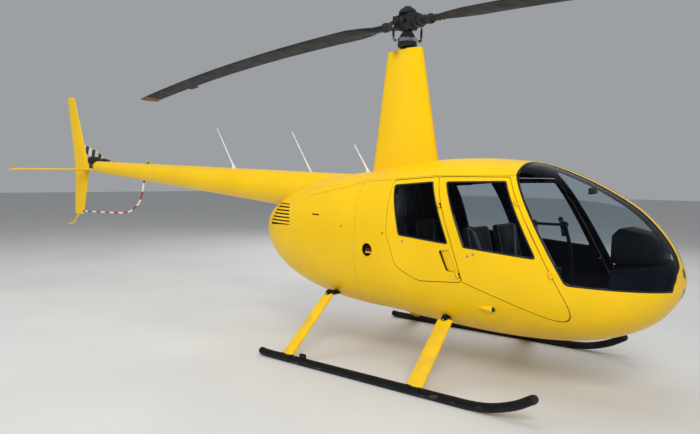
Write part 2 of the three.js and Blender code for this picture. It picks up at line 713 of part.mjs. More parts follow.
const underLever = solid(block(900, 1100, -50, 50, 700, SEAT_BOX_TOP + SEAT_GAP));
add('collective_lever', solid(bar(LEVER_PATH, 15, 8, 8)).subtract(underLever), BLACK);

// Mast tube, swashplate and rotor shaft
const SHAFT_RADIUS = 30;
add('swashplate_base', join(
  solid(rod([0, 0, 2532], [0, 0, 2905], MAST_TUBE, 16)),
  solid(rod([0, 0, 2900], [0, 0, 2944], 92, 16)),
).subtract(solid(rod([0, 0, 2500], [0, 0, 3000], SHAFT_RADIUS + 6, 16))), STEEL);

const rotor = new THREE.Group();
rotor.rotation.z = ROTOR_TURN;
aircraft.add(rotor);
const TEETER = 0.003; // parked slope: the front blade is down, the aft one up
const DROOP = 0.0138e-3;
const TWIST = THREE.MathUtils.degToRad(-7); // from a blade's root to its tip
const bladeZ = (r, slope) => HUB_Z - 20 + slope * r - DROOP * r * r;
const hubParts = [
  solid(rod([0, 0, 2560], [0, 0, HUB_Z], SHAFT_RADIUS, 16)),
  solid(rod([0, 0, 2600], [0, 0, 2640], SHAFT_RADIUS + 5, 16)),
  solid(block(-70, 70, -55, 55, HUB_Z - 90, HUB_Z + 70)),
  solid(rod([0, -95, HUB_Z], [0, 95, HUB_Z], 26, 12)),
  solid(rod([0, 0, HUB_Z], [0, 0, 3284], 34, 12)),
];
for (const [along, slope] of [[1, -TEETER], [-1, TEETER]]) {
  hubParts.push(
    solid(block(-36, 36, -62, 62, -60, 60).translate(along * 100, 0, HUB_Z - 5)),
    solid(rod([along * 60, 0, HUB_Z - 12], [along * 298, 0, bladeZ(298, slope)], 42, 12)),
  );
}
const hub = join(...hubParts);
add('rotor_hub', hub, CAST, rotor);
// A main blade from its root to its tip: radius, chord, thickness
const MAIN_BLADE = [
  [299, 96, 74], [420, 110, 62], [520, 190, 46], [700, BLADE_CHORD, 34],
  ...[1600, 2600, 3600].map((r) => [r, BLADE_CHORD, BLADE_THICK]),
  [4600, BLADE_CHORD, BLADE_THICK - 2], [4990, BLADE_CHORD - 6, 24], [ROTOR_RADIUS, BLADE_CHORD - 60, 12],
];
// The blades' slopes, and their roots' pitch as the cyclic stick is parked
for (const [name, along, slope, degrees] of [
  ['main_blade_1', 1, -TEETER, -3],
  ['main_blade_2', -1, TEETER, 11.5],
]) {
  const rings = MAIN_BLADE.map(([r, chord, thick]) => {
    const pitch = THREE.MathUtils.degToRad(degrees) + (TWIST * r) / ROTOR_RADIUS;
    const [c, s] = [Math.cos(pitch), Math.sin(pitch)];
    return bladeSection(chord, thick).map(([a, b]) => {
      const out = a - (BLADE_CHORD - chord) * 0.1;
      return new THREE.Vector3(along * r, along * (out * c - b * s), bladeZ(r, slope) + out * s + b * c);
    });
  });
  add(name, solid(loft(rings)).subtract(hub.translate([along * SEAT_GAP, 0, 0])), CHARCOAL, rotor);
}
const shaftRoom = solid(rod([0, 0, 2500], [0, 0, 3100], SHAFT_RADIUS + 6, 16));
const LINK_R = 86;
const links = [90, 270].map((degrees) => {
  const at = THREE.MathUtils.degToRad(degrees + 24);
  const [c, s] = [Math.cos(at), Math.sin(at)];
  return join(
    solid(rod([LINK_R * c, LINK_R * s, 2960], [LINK_R * c * 1.55, LINK_R * s * 1.45, 3105], 9, 8)),
    solid(new THREE.SphereGeometry(15, 8, 6).translate(LINK_R * c * 1.55, LINK_R * s * 1.45, 3105)),
  );
});
add('swashplate_ring', join(
  solid(rod([0, 0, 2944.6], [0, 0, 2988], 95, 16)).subtract(shaftRoom),
  ...links,
).subtract(hub), STEEL, rotor);

// Tail cone, gearbox, fins and guard
const tailcone = cone(0).subtract(cone(-TAILCONE.wall).translate([20, 0, 0]));
add('tailcone', tailcone, YELLOW);
// The gearbox turns the drive to the left and a little up from the cone's axis
const gearboxForm = (grow) => join(
  solid(rod([-5640, 0, 1797], [-5850, 40, 1812], 48 + grow, 12)),
  solid(rod([-5875, 60, 1775 - grow], [-5893, 60, TAIL_AXIS.z + 10], 54 + grow, 12)),
  solid(rod([-5893, 10 - grow, TAIL_AXIS.z], [-5893, 150 + grow, TAIL_AXIS.z], 58 + grow, 12)),
);
const gearbox = join(gearboxForm(0), solid(rod([-5893, 140, TAIL_AXIS.z], [-5893, 255, TAIL_AXIS.z], 24, 12)))
  .subtract(cone(SEAT_GAP));
add('tail_gearbox', biggest(gearbox), CAST);
const gearboxRoom = gearboxForm(SEAT_GAP * 2);
const finRing = (front, back, z, thick) => bladeSection(front - back, thick).map(([a, b]) => (
  new THREE.Vector3((front + back) / 2 + a, b, z)));
const fin = biggest(solid(loft([
  finRing(-6064, -6333, 1056, 26), finRing(-5880, -6298, 1752, 52), finRing(-6305, -6515, 2898, 22),
])).subtract(gearboxRoom));
add('tail_fin', fin, YELLOW);
// The stabilizer's section at y; its tip is a little lower than its root
const planRing = (y, front, back, thick) => bladeSection(front - back, thick).map(([a, b]) => (
  new THREE.Vector3((front + back) / 2 + a, y, 1750 + b + y * 0.013)));
const stabilizer = solid(loft([
  planRing(-6, -5540, -6010, 46), planRing(-180, -5648, -6000, 46),
  planRing(-1185, -5670, -5896, 42), planRing(-1200, -5690, -5880, 24),
])).subtract(cone(SEAT_GAP)).subtract(gearboxRoom).subtract(fin.translate([0, -SEAT_GAP, 0]));
add('stabilizer', biggest(stabilizer), YELLOW);
const GUARD_RADIUS = 13;
const GUARD_PATH = [
  [-6050, 0, 1100],
  [-5500, 0, 1104],
  [-4893, 0, 1122],
  [-4640, 0, 1200],
  [-4480, 0, 1340],
  [-4380, 0, 1640],
];
add('tail_guard', biggest(solid(bar(GUARD_PATH, GUARD_RADIUS, 14, 8))
  .subtract(cone(SEAT_GAP))
  .subtract(fin.translate([SEAT_GAP, 0, 0]))), WHITE);
add('tail_skid', biggest(solid(bar([
  [-6190, 0, 1080], [-6260, 0, 1010], [-6400, 0, 900], [-6535, 0, 880],
], 12, 10, 8)).subtract(fin.translate([0, 0, -SEAT_GAP]))), YELLOW);

// Tail rotor on the left of the gearbox
const tailRotor = new THREE.Group();
tailRotor.position.copy(TAIL_AXIS);
tailRotor.rotation.y = TAIL_ROTOR_TURN;
aircraft.add(tailRotor);
// A tail blade from its root to its tip: radius, chord, thickness
const TAIL_BLADE = [
  [100, 60, 30], [190, 90, 18], [280, 128, 15],
  [TAIL_ROTOR_RADIUS - 20, 128, 13], [TAIL_ROTOR_RADIUS, 110, 8],
];
const tailBlades = [1, -1].map((along) => {
  const rings = TAIL_BLADE.map(([r, chord, thick]) => bladeSection(chord, thick).map(([a, b]) => (
    new THREE.Vector3(along * r, 300 + b, -along * a))));
  return solid(loft(rings));
});
add('tail_rotor_blades', join(
  solid(rod([0, 255.4, 0], [0, 335, 0], 30, 12)),
  solid(rod([-110, 300, 0], [110, 300, 0], 19, 10)),
  ...tailBlades,
), CHARCOAL, tailRotor);

// Aerials on the roof and the tail cone, and the beacon
for (const [name, base, tip] of [
  ['aerial_roof', [-425, 0, 1690], [-630, 0, 1999]],
  ['aerial_front', [-1190, 0, 1660], [-1517, 0, 2161]],
  ['aerial_rear', [-2470, 0, 1745], [-2808, 0, 2261]],
]) {
  add(name, biggest(join(
    solid(rod(base, tip, 9, 8, 4)),
    solid(rod([base[0] - 20, 0, base[2]], [base[0] - 28, 0, base[2] + 50], 26, 8, 14)),
  ).subtract(cone(SEAT_GAP)).subtract(body)), WHITE);
}
const beacon = solid(rod([-4287, 0, 1780], [-4287, 0, 1895], 36, 12, 28));
add('beacon', biggest(beacon.subtract(cone(SEAT_GAP))), RED);

export default aircraft;
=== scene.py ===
"""Builds the look of a light four-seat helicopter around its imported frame.

Lengths in the tables are millimetres, and a station x is measured from the rotor mast's axis.
"""
import math
from functools import lru_cache

import bmesh
import bpy
import numpy as np
from mathutils import Matrix, Vector
from mathutils.bvhtree import BVHTree


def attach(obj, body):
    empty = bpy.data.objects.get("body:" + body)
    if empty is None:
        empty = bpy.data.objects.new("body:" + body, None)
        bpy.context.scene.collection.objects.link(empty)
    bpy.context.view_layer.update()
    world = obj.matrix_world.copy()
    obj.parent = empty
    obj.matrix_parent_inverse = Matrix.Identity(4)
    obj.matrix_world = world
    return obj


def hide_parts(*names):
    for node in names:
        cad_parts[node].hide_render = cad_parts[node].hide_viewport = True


bl_info = {
    "name": "Light Helicopter",
    "version": (1, 0, 0),
    "blender": (4, 5, 0),
    "location": "3D View > Sidebar > Helicopter",
    "description": "Builds a light four-seat helicopter around its frame",
    "category": "Object",
}

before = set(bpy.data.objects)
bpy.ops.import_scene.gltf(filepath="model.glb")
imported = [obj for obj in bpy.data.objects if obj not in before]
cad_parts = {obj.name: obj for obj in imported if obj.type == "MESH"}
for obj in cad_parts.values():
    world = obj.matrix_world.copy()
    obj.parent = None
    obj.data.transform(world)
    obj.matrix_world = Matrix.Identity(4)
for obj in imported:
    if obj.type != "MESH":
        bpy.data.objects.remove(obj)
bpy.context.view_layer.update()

MM = 0.001
MAST = Vector((0.762, 0.0, 0.0))

# The fuselage, nose first: x, top, bottom, half width, height of the widest point,
# squareness above that height and below it
STATIONS = np.array([
    [2453, 905, 905, 0, 905, 2.0, 2.0],
    [2437, 1000, 815, 150, 905, 2.0, 2.0],
    [2385, 1135, 720, 262, 910, 2.1, 2.1],
    [2290, 1278, 604, 375, 915, 2.2, 2.2],
    [2140, 1430, 508, 490, 925, 2.3, 2.4],
    [1940, 1560, 434, 580, 945, 2.5, 2.5],
    [1700, 1680, 388, 632, 975, 2.7, 2.6],
    [1400, 1786, 368, 650, 1010, 3.0, 2.8],
    [1000, 1832, 368, 652, 1030, 3.1, 2.9],
    [550, 1830, 390, 645, 1040, 3.1, 2.9],
    [150, 1795, 418, 625, 1050, 3.0, 2.8],
    [-250, 1730, 430, 588, 1055, 2.8, 2.8],
    [-650, 1690, 466, 536, 1060, 2.5, 2.7],
    [-1000, 1640, 535, 474, 1070, 2.3, 2.6],
    [-1300, 1540, 640, 398, 1085, 2.2, 2.5],
    [-1530, 1420, 782, 306, 1100, 2.1, 2.4],
    [-1690, 1310, 950, 184, 1120, 2.0, 2.1],
    [-1750, 1145, 1145, 0, 1145, 2.0, 2.0],
])
BODY_MIDDLE = (STATIONS[0, 0] + STATIONS[-1, 0]) / 2
BODY_HALF = (STATIONS[0, 0] - STATIONS[-1, 0]) / 2
FULL_DEPTH = 220.0  # a section smaller than this is thinned by less than the whole wall
OUTSIDE = 900  # a half width and a height past the skin, for what cuts right through it
OVERHEAD = 2200
INNER_SKIN = 26.8
RING_STEP = 22.0
RING_POINTS = 144

# Outlines seen from the side: x, z, corner radius
FRONT_DOOR = [
    (1914, 550, 124), (1300, 1668, 30), (694, 1668, 15), (769, 1440, 200), (889, 1120, 200), (988, 836, 30),
]
REAR_DOOR = [
    (980, 832, 30), (881, 1120, 200), (761, 1440, 200), (686, 1668, 15),
    (236, 1634, 25), (226, 1180, 200), (330, 900, 150), (560, 800, 200),
]
FRONT_WINDOW = [(1589, 1061, 25), (1284, 1642, 30), (767, 1633, 20), (986, 1107, 25)]
REAR_WINDOW = [(856, 1122, 22), (648, 1632, 25), (250, 1600, 25), (356, 1166, 30)]
WINDSHIELD = [
    (2700, 850, 0), (2700, 2100, 0), (1300, 2100, 0), (1335, 1690, 60), (1488, 1419, 300), (1790, 890, 60),
]
ROOF_SEAM = [(1800, 1686), (1300, 1684), (620, 1678), (235, 1645), (-100, 1622), (-400, 1560), (-900, 1470)]
STRIP_HALF = 30.0
STRIP_FOOT_Z = 1120.0
ROOF_FRONT = 1340.0
COWL_SEAM = -150.0
TOUCH = 0.3  # between two pieces that meet
DOOR_GAP = 6.0

# Hinge pins on the right side, lower and upper, and from a pin to the frame's and the door's wall
HINGES = {
    "front": ((1692, -645, 961), (1404, -614, 1477)),
    "rear": ((948, -663, 890), (748, -634, 1440)),
}
FRAME_ARM = {"front": (28, 38, 0), "rear": (4, 62, 0)}
DOOR_ARM = {"front": (-22, 38, 0), "rear": (-18, 40, 0)}

ROTOR_TURN = math.radians(-5.2)
HUB_Z = 3150.0
ROTOR_RADIUS = 5030.0
BLADE_CHORD = 254.0
TEETER = 0.003  # parked slope: the front blade is down, the aft one up
DROOP = 0.0138e-3
TWIST = math.radians(-7)  # from a blade's root to its tip
TAIL_AXIS = (-5893.0, 0.0, 1895.0)
TAIL_TURN = math.radians(17)
TAILCONE = {"x0": -560.0, "z0": 1469.0, "r0": 224.7, "x1": -5660.0, "z1": 1796.2, "r1": 84.6}
SKID_Y = 1080.0
SKID_RADIUS = 34.0
SEAT_BOX_TOP = 800.0
FLOOR_Z = 550.0


# Settings that a user would change

def colour_setting(name, note, default):
    return bpy.props.FloatVectorProperty(
        name=name, description=note, subtype="COLOR", size=3, min=0, max=1, default=default)


def length_setting(name, note, low, high, default):
    return bpy.props.FloatProperty(
        name=name, description=note, unit="LENGTH", min=low, max=high, default=default)


class HelicopterPaint(bpy.types.PropertyGroup):
    """Colours of the painted and the fitted parts"""

    body: colour_setting("Body paint", "Gloss paint of the fuselage, struts and tail", (0.88, 0.545, 0.003))
    skids: colour_setting("Skid paint", "Paint of the skids and cross tubes", (0.004, 0.0045, 0.005))
    blades: colour_setting("Blade paint", "Paint of the main rotor blades", (0.014, 0.015, 0.018))
    lining: colour_setting(
        "Cabin lining", "Vinyl of the headliner and the door linings", (0.004, 0.005, 0.011))
    leather: colour_setting("Seat leather", "Leather of the seats", (0.009, 0.010, 0.014))
    glass: colour_setting("Glass tint", "Tint of the windshields and windows", (0.75, 0.81, 0.85))


class HelicopterSizes(bpy.types.PropertyGroup):
    """Sizes of the skins, seals and small fasteners"""

    skin: length_setting("Skin", "Thickness of the painted skins", 0.002, 0.0053, 0.005)
    seal: length_setting("Seal width", "Width of the rubber round each pane", 0.004, 0.03, 0.013)
    rivet: length_setting("Rivet radius", "Radius of a rivet's head", 0.001, 0.006, 0.0028)
    rivet_pitch: length_setting("Rivet pitch", "Distance between two rivets of a row", 0.01, 0.1, 0.032)
    stitch: length_setting("Stitch length", "Length of a stitch on the seats", 0.003, 0.015, 0.007)
    slats: bpy.props.IntProperty(
        name="Louvre slats", description="Slats in each louvre of the engine cowl",
        min=3, max=12, default=6)


def paint_colours():
    return bpy.context.scene.helicopter_paint


def sizes():
    return bpy.context.scene.helicopter_sizes


# Shapes are (points, faces) in millimetres

def outward(shape):
    """The shape with its faces pointing out."""
    points, faces = shape
    corners = np.array([(face[0], face[i], face[i + 1]) for face in faces for i in range(1, len(face) - 1)])
    a, b, c = points[corners].transpose(1, 0, 2)
    volume = np.einsum("ij,ij", a, np.cross(b, c))
    return shape if volume > 0 else (points, [face[::-1] for face in faces])


def loft(rings, closed=False):
    """A skin through rings of equally many points. A ring of one point is a tip; closed joins the ends."""
    rings = [np.asarray(ring, float).reshape(-1, 3) for ring in rings]
    start = np.cumsum([0] + [len(ring) for ring in rings])
    faces = []
    pairs = list(zip(range(len(rings) - 1), range(1, len(rings))))
    if closed:
        pairs.append((len(rings) - 1, 0))
    for i, j in pairs:
        size = max(len(rings[i]), len(rings[j]))
        for k in range(size):
            n = (k + 1) % size
            a, b = (start[i] + k, start[i] + n) if len(rings[i]) > 1 else (start[i], start[i])
            d, c = (start[j] + k, start[j] + n) if len(rings[j]) > 1 else (start[j], start[j])
            faces.append(tuple(dict.fromkeys((int(a), int(b), int(c), int(d)))))
    if not closed:
        for i in (0, len(rings) - 1):
            if len(rings[i]) > 1:
                ring = list(range(int(start[i]), int(start[i]) + len(rings[i])))
                faces.append(tuple(ring[::-1] if i == 0 else ring))
    return outward((np.vstack(rings), faces))


def joined(*shapes):
    """One shape of several that don't share points."""
    points, faces, count = [], [], 0
    for shape_points, shape_faces in shapes:
        points.append(shape_points)
        faces.extend(tuple(i + count for i in face) for face in shape_faces)
        count += len(shape_points)
    return np.vstack(points), faces


def moved(shape, matrix):
    """The shape under a 4 by 4 matrix."""
    points, faces = shape
    m = np.array(matrix)
    return points @ m[:3, :3].T + m[:3, 3], faces


def mirrored(shape):
    points, faces = shape
    return points * np.array([1, -1, 1]), [face[::-1] for face in faces]


def both(shape):
    return joined(shape, mirrored(shape))


def block(x0, x1, y0, y1, z0, z1):
    points = np.array([(x, y, z) for x in (x0, x1) for y in (y0, y1) for z in (z0, z1)], float)
    faces = [(0, 1, 3, 2), (4, 6, 7, 5), (0, 4, 5, 1), (2, 3, 7, 6), (0, 2, 6, 4), (1, 5, 7, 3)]
    return outward((points, faces))


def spread(path, steps, closed=False):
    """A smooth curve through the path's points, resampled to evenly spaced ones; a closed one has no last."""
    path = np.asarray(path, float)
    if closed:
        table, fineness = np.vstack([path[-1:], path, path[:2]]), 14
    else:
        table, fineness = np.vstack([2 * path[0] - path[1], path, 2 * path[-1] - path[-2]]), 12
    t = np.linspace(0, 1, fineness, endpoint=False)[:, None]
    fine = np.vstack([smooth(*table[i:i + 4], t) for i in range(len(table) - 3)] + [table[-2:-1]])
    along = np.concatenate([[0], np.cumsum(np.linalg.norm(np.diff(fine, axis=0), axis=1))])
    places = np.linspace(0, along[-1], steps + 1)[:steps if closed else None]
    return np.column_stack([np.interp(places, along, fine[:, k]) for k in range(path.shape[1])])


def sweep(path, section, steps=None):
    """A section of (side, up) points carried along a path; a function of 0 to 1 may give the section."""
    line = spread(path, steps) if steps else np.asarray(path, float)
    tangent = np.gradient(line, axis=0)
    tangent /= np.linalg.norm(tangent, axis=1)[:, None]
    up = np.array([0, 0, 1.0]) if abs(tangent[0][2]) < 0.9 else np.array([1.0, 0, 0])
    rings = []
    for i, (at, ahead) in enumerate(zip(line, tangent)):
        side = np.cross(up, ahead)
        side /= np.linalg.norm(side)
        up = np.cross(ahead, side)
        shape = section(i / (len(line) - 1)) if callable(section) else section
        rings.append([at + side * a + up * b for a, b in shape])
    return loft(rings)


def circle(radius, sides=24):
    angles = np.arange(sides) / sides * 2 * math.pi
    return np.column_stack([radius * np.cos(angles), radius * np.sin(angles)])


def tube(path, radius, steps=40, sides=20):
    return sweep(path, circle(radius, sides), steps)


def turned(profile, start, end, sides=32):
    """A profile of (radius, distance) turned about the line from start towards end."""
    a, b = Vector(start), Vector(end)
    ahead = (b - a).normalized()
    side = ahead.orthogonal().normalized()
    up = ahead.cross(side)
    rings = []
    for radius, distance in profile:
        at = a + ahead * distance
        if radius <= 0:
            rings.append([at])
            continue
        rings.append([at + side * p + up * q for p, q in circle(radius, sides)])
    return loft([[tuple(p) for p in ring] for ring in rings])


def rod(a, b, radius, end_radius=None, sides=24, edge=None):
    """A round bar with broken edges."""
    end_radius = radius if end_radius is None else end_radius
    long = (Vector(b) - Vector(a)).length
    edge = min(radius, end_radius, long / 2) * 0.15 if edge is None else edge
    profile = [(radius - edge, 0), (radius, edge), (end_radius, long - edge), (end_radius - edge, long)]
    return turned(profile, a, b, sides)


def stud(radius, height, at, towards, sides=6):
    """A bolt's head, or another plain flat-topped knob."""
    return turned([(radius, 0), (radius, height), (0, height)], at, towards, sides)


def bore(a, b, radius, sides):
    """A round cutter with sharp edges."""
    return rod(a, b, radius, sides=sides, edge=0.01)


def ball(centre, radius, sides=20):
    angles = np.linspace(0, math.pi, sides // 2 + 1)
    profile = [(radius * math.sin(t), radius - radius * math.cos(t)) for t in angles]
    profile[0] = (0, 0)
    profile[-1] = (0, 2 * radius)
    low = Vector(centre) - Vector((0, 0, radius))
    return turned(profile, low, Vector(centre), sides)


def airfoil(chord, thick, points=48):
    """A blade's section, thickest at three tenths of its chord, with its leading edge at +chord / 2."""
    angles = np.arange(points) / points * 2 * math.pi
    along = np.cos(angles)
    return np.column_stack([chord / 2 * along, thick / 2 * np.sin(angles) * (0.75 + 0.25 * along)])


def rounded(corners, steps=10):
    """The corners' outline with each corner rounded."""
    points = []
    for i, (x, z, radius) in enumerate(corners):
        corner = Vector((x, z))
        back = Vector(corners[i - 1][:2]) - corner
        ahead = Vector(corners[(i + 1) % len(corners)][:2]) - corner
        if radius <= 0:
            points.append(corner)
            continue
        room = min(back.length, ahead.length) * 0.48
        reach = min(radius / math.tan(back.angle(ahead) / 2), room)
        a = corner + back.normalized() * reach
        b = corner + ahead.normalized() * reach
        for t in np.linspace(0, 1, steps + 1):
            points.append(a * (1 - t) ** 2 + corner * 2 * t * (1 - t) + b * t * t)
    return [tuple(p) for p in points]


def grown(corners, gap):
    """The same corners moved out by a gap, or in where it is negative."""
    points = [Vector(corner[:2]) for corner in corners]
    area = sum(p.x * q.y - q.x * p.y for p, q in zip(points, points[1:] + points[:1]))
    edges = []
    for p, q in zip(points, points[1:] + points[:1]):
        along = (q - p).normalized()
        out = Vector((along.y, -along.x)) * math.copysign(gap, area * gap)
        edges.append((p + out, along))
    result = []
    for i, corner in enumerate(corners):
        (a, along_a), (b, along_b) = edges[i - 1], edges[i]
        cross = along_a.x * along_b.y - along_a.y * along_b.x
        t = ((b.x - a.x) * along_b.y - (b.y - a.y) * along_b.x) / cross
        at = a + along_a * t
        result.append((at.x, at.y, max(corner[2] + gap, 1) if corner[2] > 0 else 0))
    return result


def side_prism(outline, y0, y1):
    """An outline of x and z pushed through the aircraft from y0 to y1."""
    return loft([[(x, y, z) for x, z in outline] for y in (y0, y1)])


def front_prism(outline, x0, x1):
    """An outline of y and z pushed along the aircraft from x0 to x1."""
    return loft([[(x, y, z) for y, z in outline] for x in (x0, x1)])


# The fuselage surface

def smooth(a, b, c, d, t):
    square = 2 * a - 5 * b + 4 * c - d
    cube = 3 * b - a - 3 * c + d
    return 0.5 * (2 * b + (c - a) * t + square * t * t + cube * t * t * t)


def station_rows(places):
    """The stations' columns at places between them; past each tip the body is its own mirror image."""
    ends = []
    for tip, other in ((STATIONS[0], STATIONS[1]), (STATIONS[-1], STATIONS[-2])):
        ghost = other.copy()
        ghost[1:3] = 2 * tip[1:3] - other[1:3]
        ghost[3] = -other[3]
        ends.append(ghost)
    table = np.vstack([ends[0], STATIONS, ends[1]])
    i = np.clip(np.floor(places).astype(int), 0, len(STATIONS) - 2)
    t = (places - i)[:, None]
    return smooth(table[i], table[i + 1], table[i + 2], table[i + 3], t)


def ring_places():
    places = []
    for i in range(len(STATIONS) - 1):
        span = np.hypot(*(STATIONS[i + 1] - STATIONS[i])[[0, 3]])
        count = max(6, math.ceil(span / RING_STEP))
        places.extend(i + np.arange(count) / count)
    return np.array(places + [len(STATIONS) - 1])


@lru_cache(maxsize=None)
def hull(depth=0.0):
    """The fuselage's outer form, or the form a depth inside it."""
    rings = []
    angles = (np.arange(RING_POINTS) + 0.5) / RING_POINTS * 2 * math.pi
    c, s = np.cos(angles), np.sin(angles)
    for x, top, bottom, half, wide, square_top, square_bottom in station_rows(ring_places()):
        at = BODY_MIDDLE + (x - BODY_MIDDLE) * (1 - depth / BODY_HALF)
        if half <= 0.01:
            rings.append([(at, 0, wide)])
            continue
        height = np.where(s > 0, top - wide, wide - bottom)
        rise = height - depth * np.minimum(1, height / FULL_DEPTH)
        reach_y = half - depth * min(1, half / FULL_DEPTH)
        square = np.where(s > 0, square_top, square_bottom)
        reach = (np.abs(c) ** square + np.abs(s) ** square) ** (-1 / square)
        rings.append(np.column_stack([np.full_like(c, at), reach_y * c * reach, wide + rise * s * reach]))
    return loft(rings)


SKIN_TABLE = station_rows(np.linspace(0, len(STATIONS) - 1, 1700))[::-1]


def skin_rows(x):
    """The fuselage's columns at station x."""
    return [np.interp(x, SKIN_TABLE[:, 0], SKIN_TABLE[:, k]) for k in range(1, 7)]


def skin_value(points):
    """1 on the fuselage's surface, less inside it."""
    top, bottom, half, wide, square_top, square_bottom = skin_rows(points[:, 0])
    above = points[:, 2] > wide
    rise = np.maximum(np.where(above, top - wide, wide - bottom), 1)
    square = np.where(above, square_top, square_bottom)
    sideways = np.abs(points[:, 1]) / np.maximum(half, 1)
    upright = np.abs(points[:, 2] - wide) / rise
    return sideways ** square + upright ** square


def skin_normal(points):
    """The fuselage surface's outward direction at points on it."""
    points = np.asarray(points, float).reshape(-1, 3)
    step = 0.5
    slope = np.column_stack([
        skin_value(points + step * axis) - skin_value(points - step * axis) for axis in np.eye(3)])
    return slope / np.maximum(np.linalg.norm(slope, axis=1), 1e-9)[:, None]


def skin_point(x, z, side=-1, lift=0.0):
    """The point of the fuselage's side at station x and height z, lifted off the skin."""
    top, bottom, half, wide, square_top, square_bottom = skin_rows(x)
    rise, square = (top - wide, square_top) if z > wide else (wide - bottom, square_bottom)
    y = half * max(1 - (abs(z - wide) / rise) ** square, 0) ** (1 / square)
    at = np.array([x, side * y, z])
    return at + lift * skin_normal(at)[0]


# Meshes, cuts and pieces

def mesh_of(shape, name="shape"):
    points, faces = shape
    mesh = bpy.data.meshes.new(name)
    mesh.from_pydata([tuple(p) for p in np.asarray(points) * MM + np.array(MAST)], [], faces)
    mesh.update()
    return mesh


def minus(other):
    return "DIFFERENCE", other


def keep(other):
    return "INTERSECT", other


def plus(other):
    return "UNION", other


def stood(name, data):
    """A new object in the scene."""
    thing = bpy.data.objects.new(name, data)
    bpy.context.scene.collection.objects.link(thing)
    return thing


def baked(thing):
    """The mesh of an object with its modifiers applied."""
    graph = bpy.context.evaluated_depsgraph_get()
    return bpy.data.meshes.new_from_object(thing.evaluated_get(graph))


def points_of(mesh):
    """A mesh's points in millimetres from the mast."""
    points = np.empty(len(mesh.vertices) * 3)
    mesh.vertices.foreach_get("co", points)
    return (points.reshape(-1, 3) - np.array(MAST)) / MM


def shape_of(mesh):
    return points_of(mesh), [tuple(p.vertices) for p in mesh.polygons]


def set_points(mesh, points):
    mesh.vertices.foreach_set("co", (points * MM + np.array(MAST)).ravel())


def carve(shape, *steps):
    """The mesh of a shape after each (operation, shape) in turn."""
    mesh = shape if isinstance(shape, bpy.types.Mesh) else mesh_of(shape)
    target = stood("carved", mesh)
    cutters = []
    for operation, other in steps:
        cutter = stood("cutter", other if isinstance(other, bpy.types.Mesh) else mesh_of(other))
        cutters.append(cutter)
        modifier = target.modifiers.new("carve", "BOOLEAN")
        modifier.operation = operation
        modifier.solver = "MANIFOLD"
        modifier.object = cutter
    result = baked(target)
    for thing in [target, *cutters]:
        bpy.data.objects.remove(thing)
    if not len(result.polygons):
        raise RuntimeError("a cut left nothing of a shape")
    return result


def flipped(mesh):
    """A mirror image of a mesh on the other side of the aircraft."""
    copy = mesh.copy()
    copy.transform(Matrix.Scale(-1, 4, (0, 1, 0)))
    copy.flip_normals()
    return copy


SIDES = (("right", lambda mesh: mesh), ("left", flipped))


def true_normals(mesh):
    """Shades the faces that lie on the fuselage's surface with the surface's own direction."""
    points = points_of(mesh)
    on_skin = np.abs(skin_value(points) - 1) < 0.012
    directions = skin_normal(points)
    loops = np.zeros((len(mesh.loops), 3))
    for polygon in mesh.polygons:
        members = list(polygon.vertices)
        if not on_skin[members].all():
            continue
        if np.dot(directions[members].mean(axis=0), polygon.normal) > 0.8:
            loops[polygon.loop_start:polygon.loop_start + len(members)] = directions[members]
    mesh.normals_split_custom_set([tuple(n) for n in loops])


def piece(name, shape, finish, body="airframe", stands_for=(), sharp=35, bevel=0.0, skin=False, values=None):
    """A finished object: its mesh, material, shading, the body it rides on and the nodes it stands for."""
    mesh = shape if isinstance(shape, bpy.types.Mesh) else mesh_of(shape)
    for attribute, numbers in (values or {}).items():
        mesh.attributes.new(attribute, "FLOAT", "POINT").data.foreach_set("value", numbers)
    mesh.name = name
    mesh.materials.clear()
    mesh.materials.append(FINISHES[finish]())
    thing = stood(name, mesh)
    if bevel:
        modifier = thing.modifiers.new("edge", "BEVEL")
        modifier.width = bevel
        modifier.segments = 2
        modifier.limit_method = "ANGLE"
        modifier.angle_limit = math.radians(38)
        thing.data = baked(thing)
        thing.modifiers.clear()
        mesh = thing.data
        mesh.name = name
    mesh.shade_smooth()
    mesh.set_sharp_from_angle(angle=math.radians(sharp))
    if skin:
        true_normals(mesh)
    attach(thing, body)
    if stands_for:
        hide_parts(*stands_for)
    SLOTS.get(finish, finish)
    return thing


# Materials

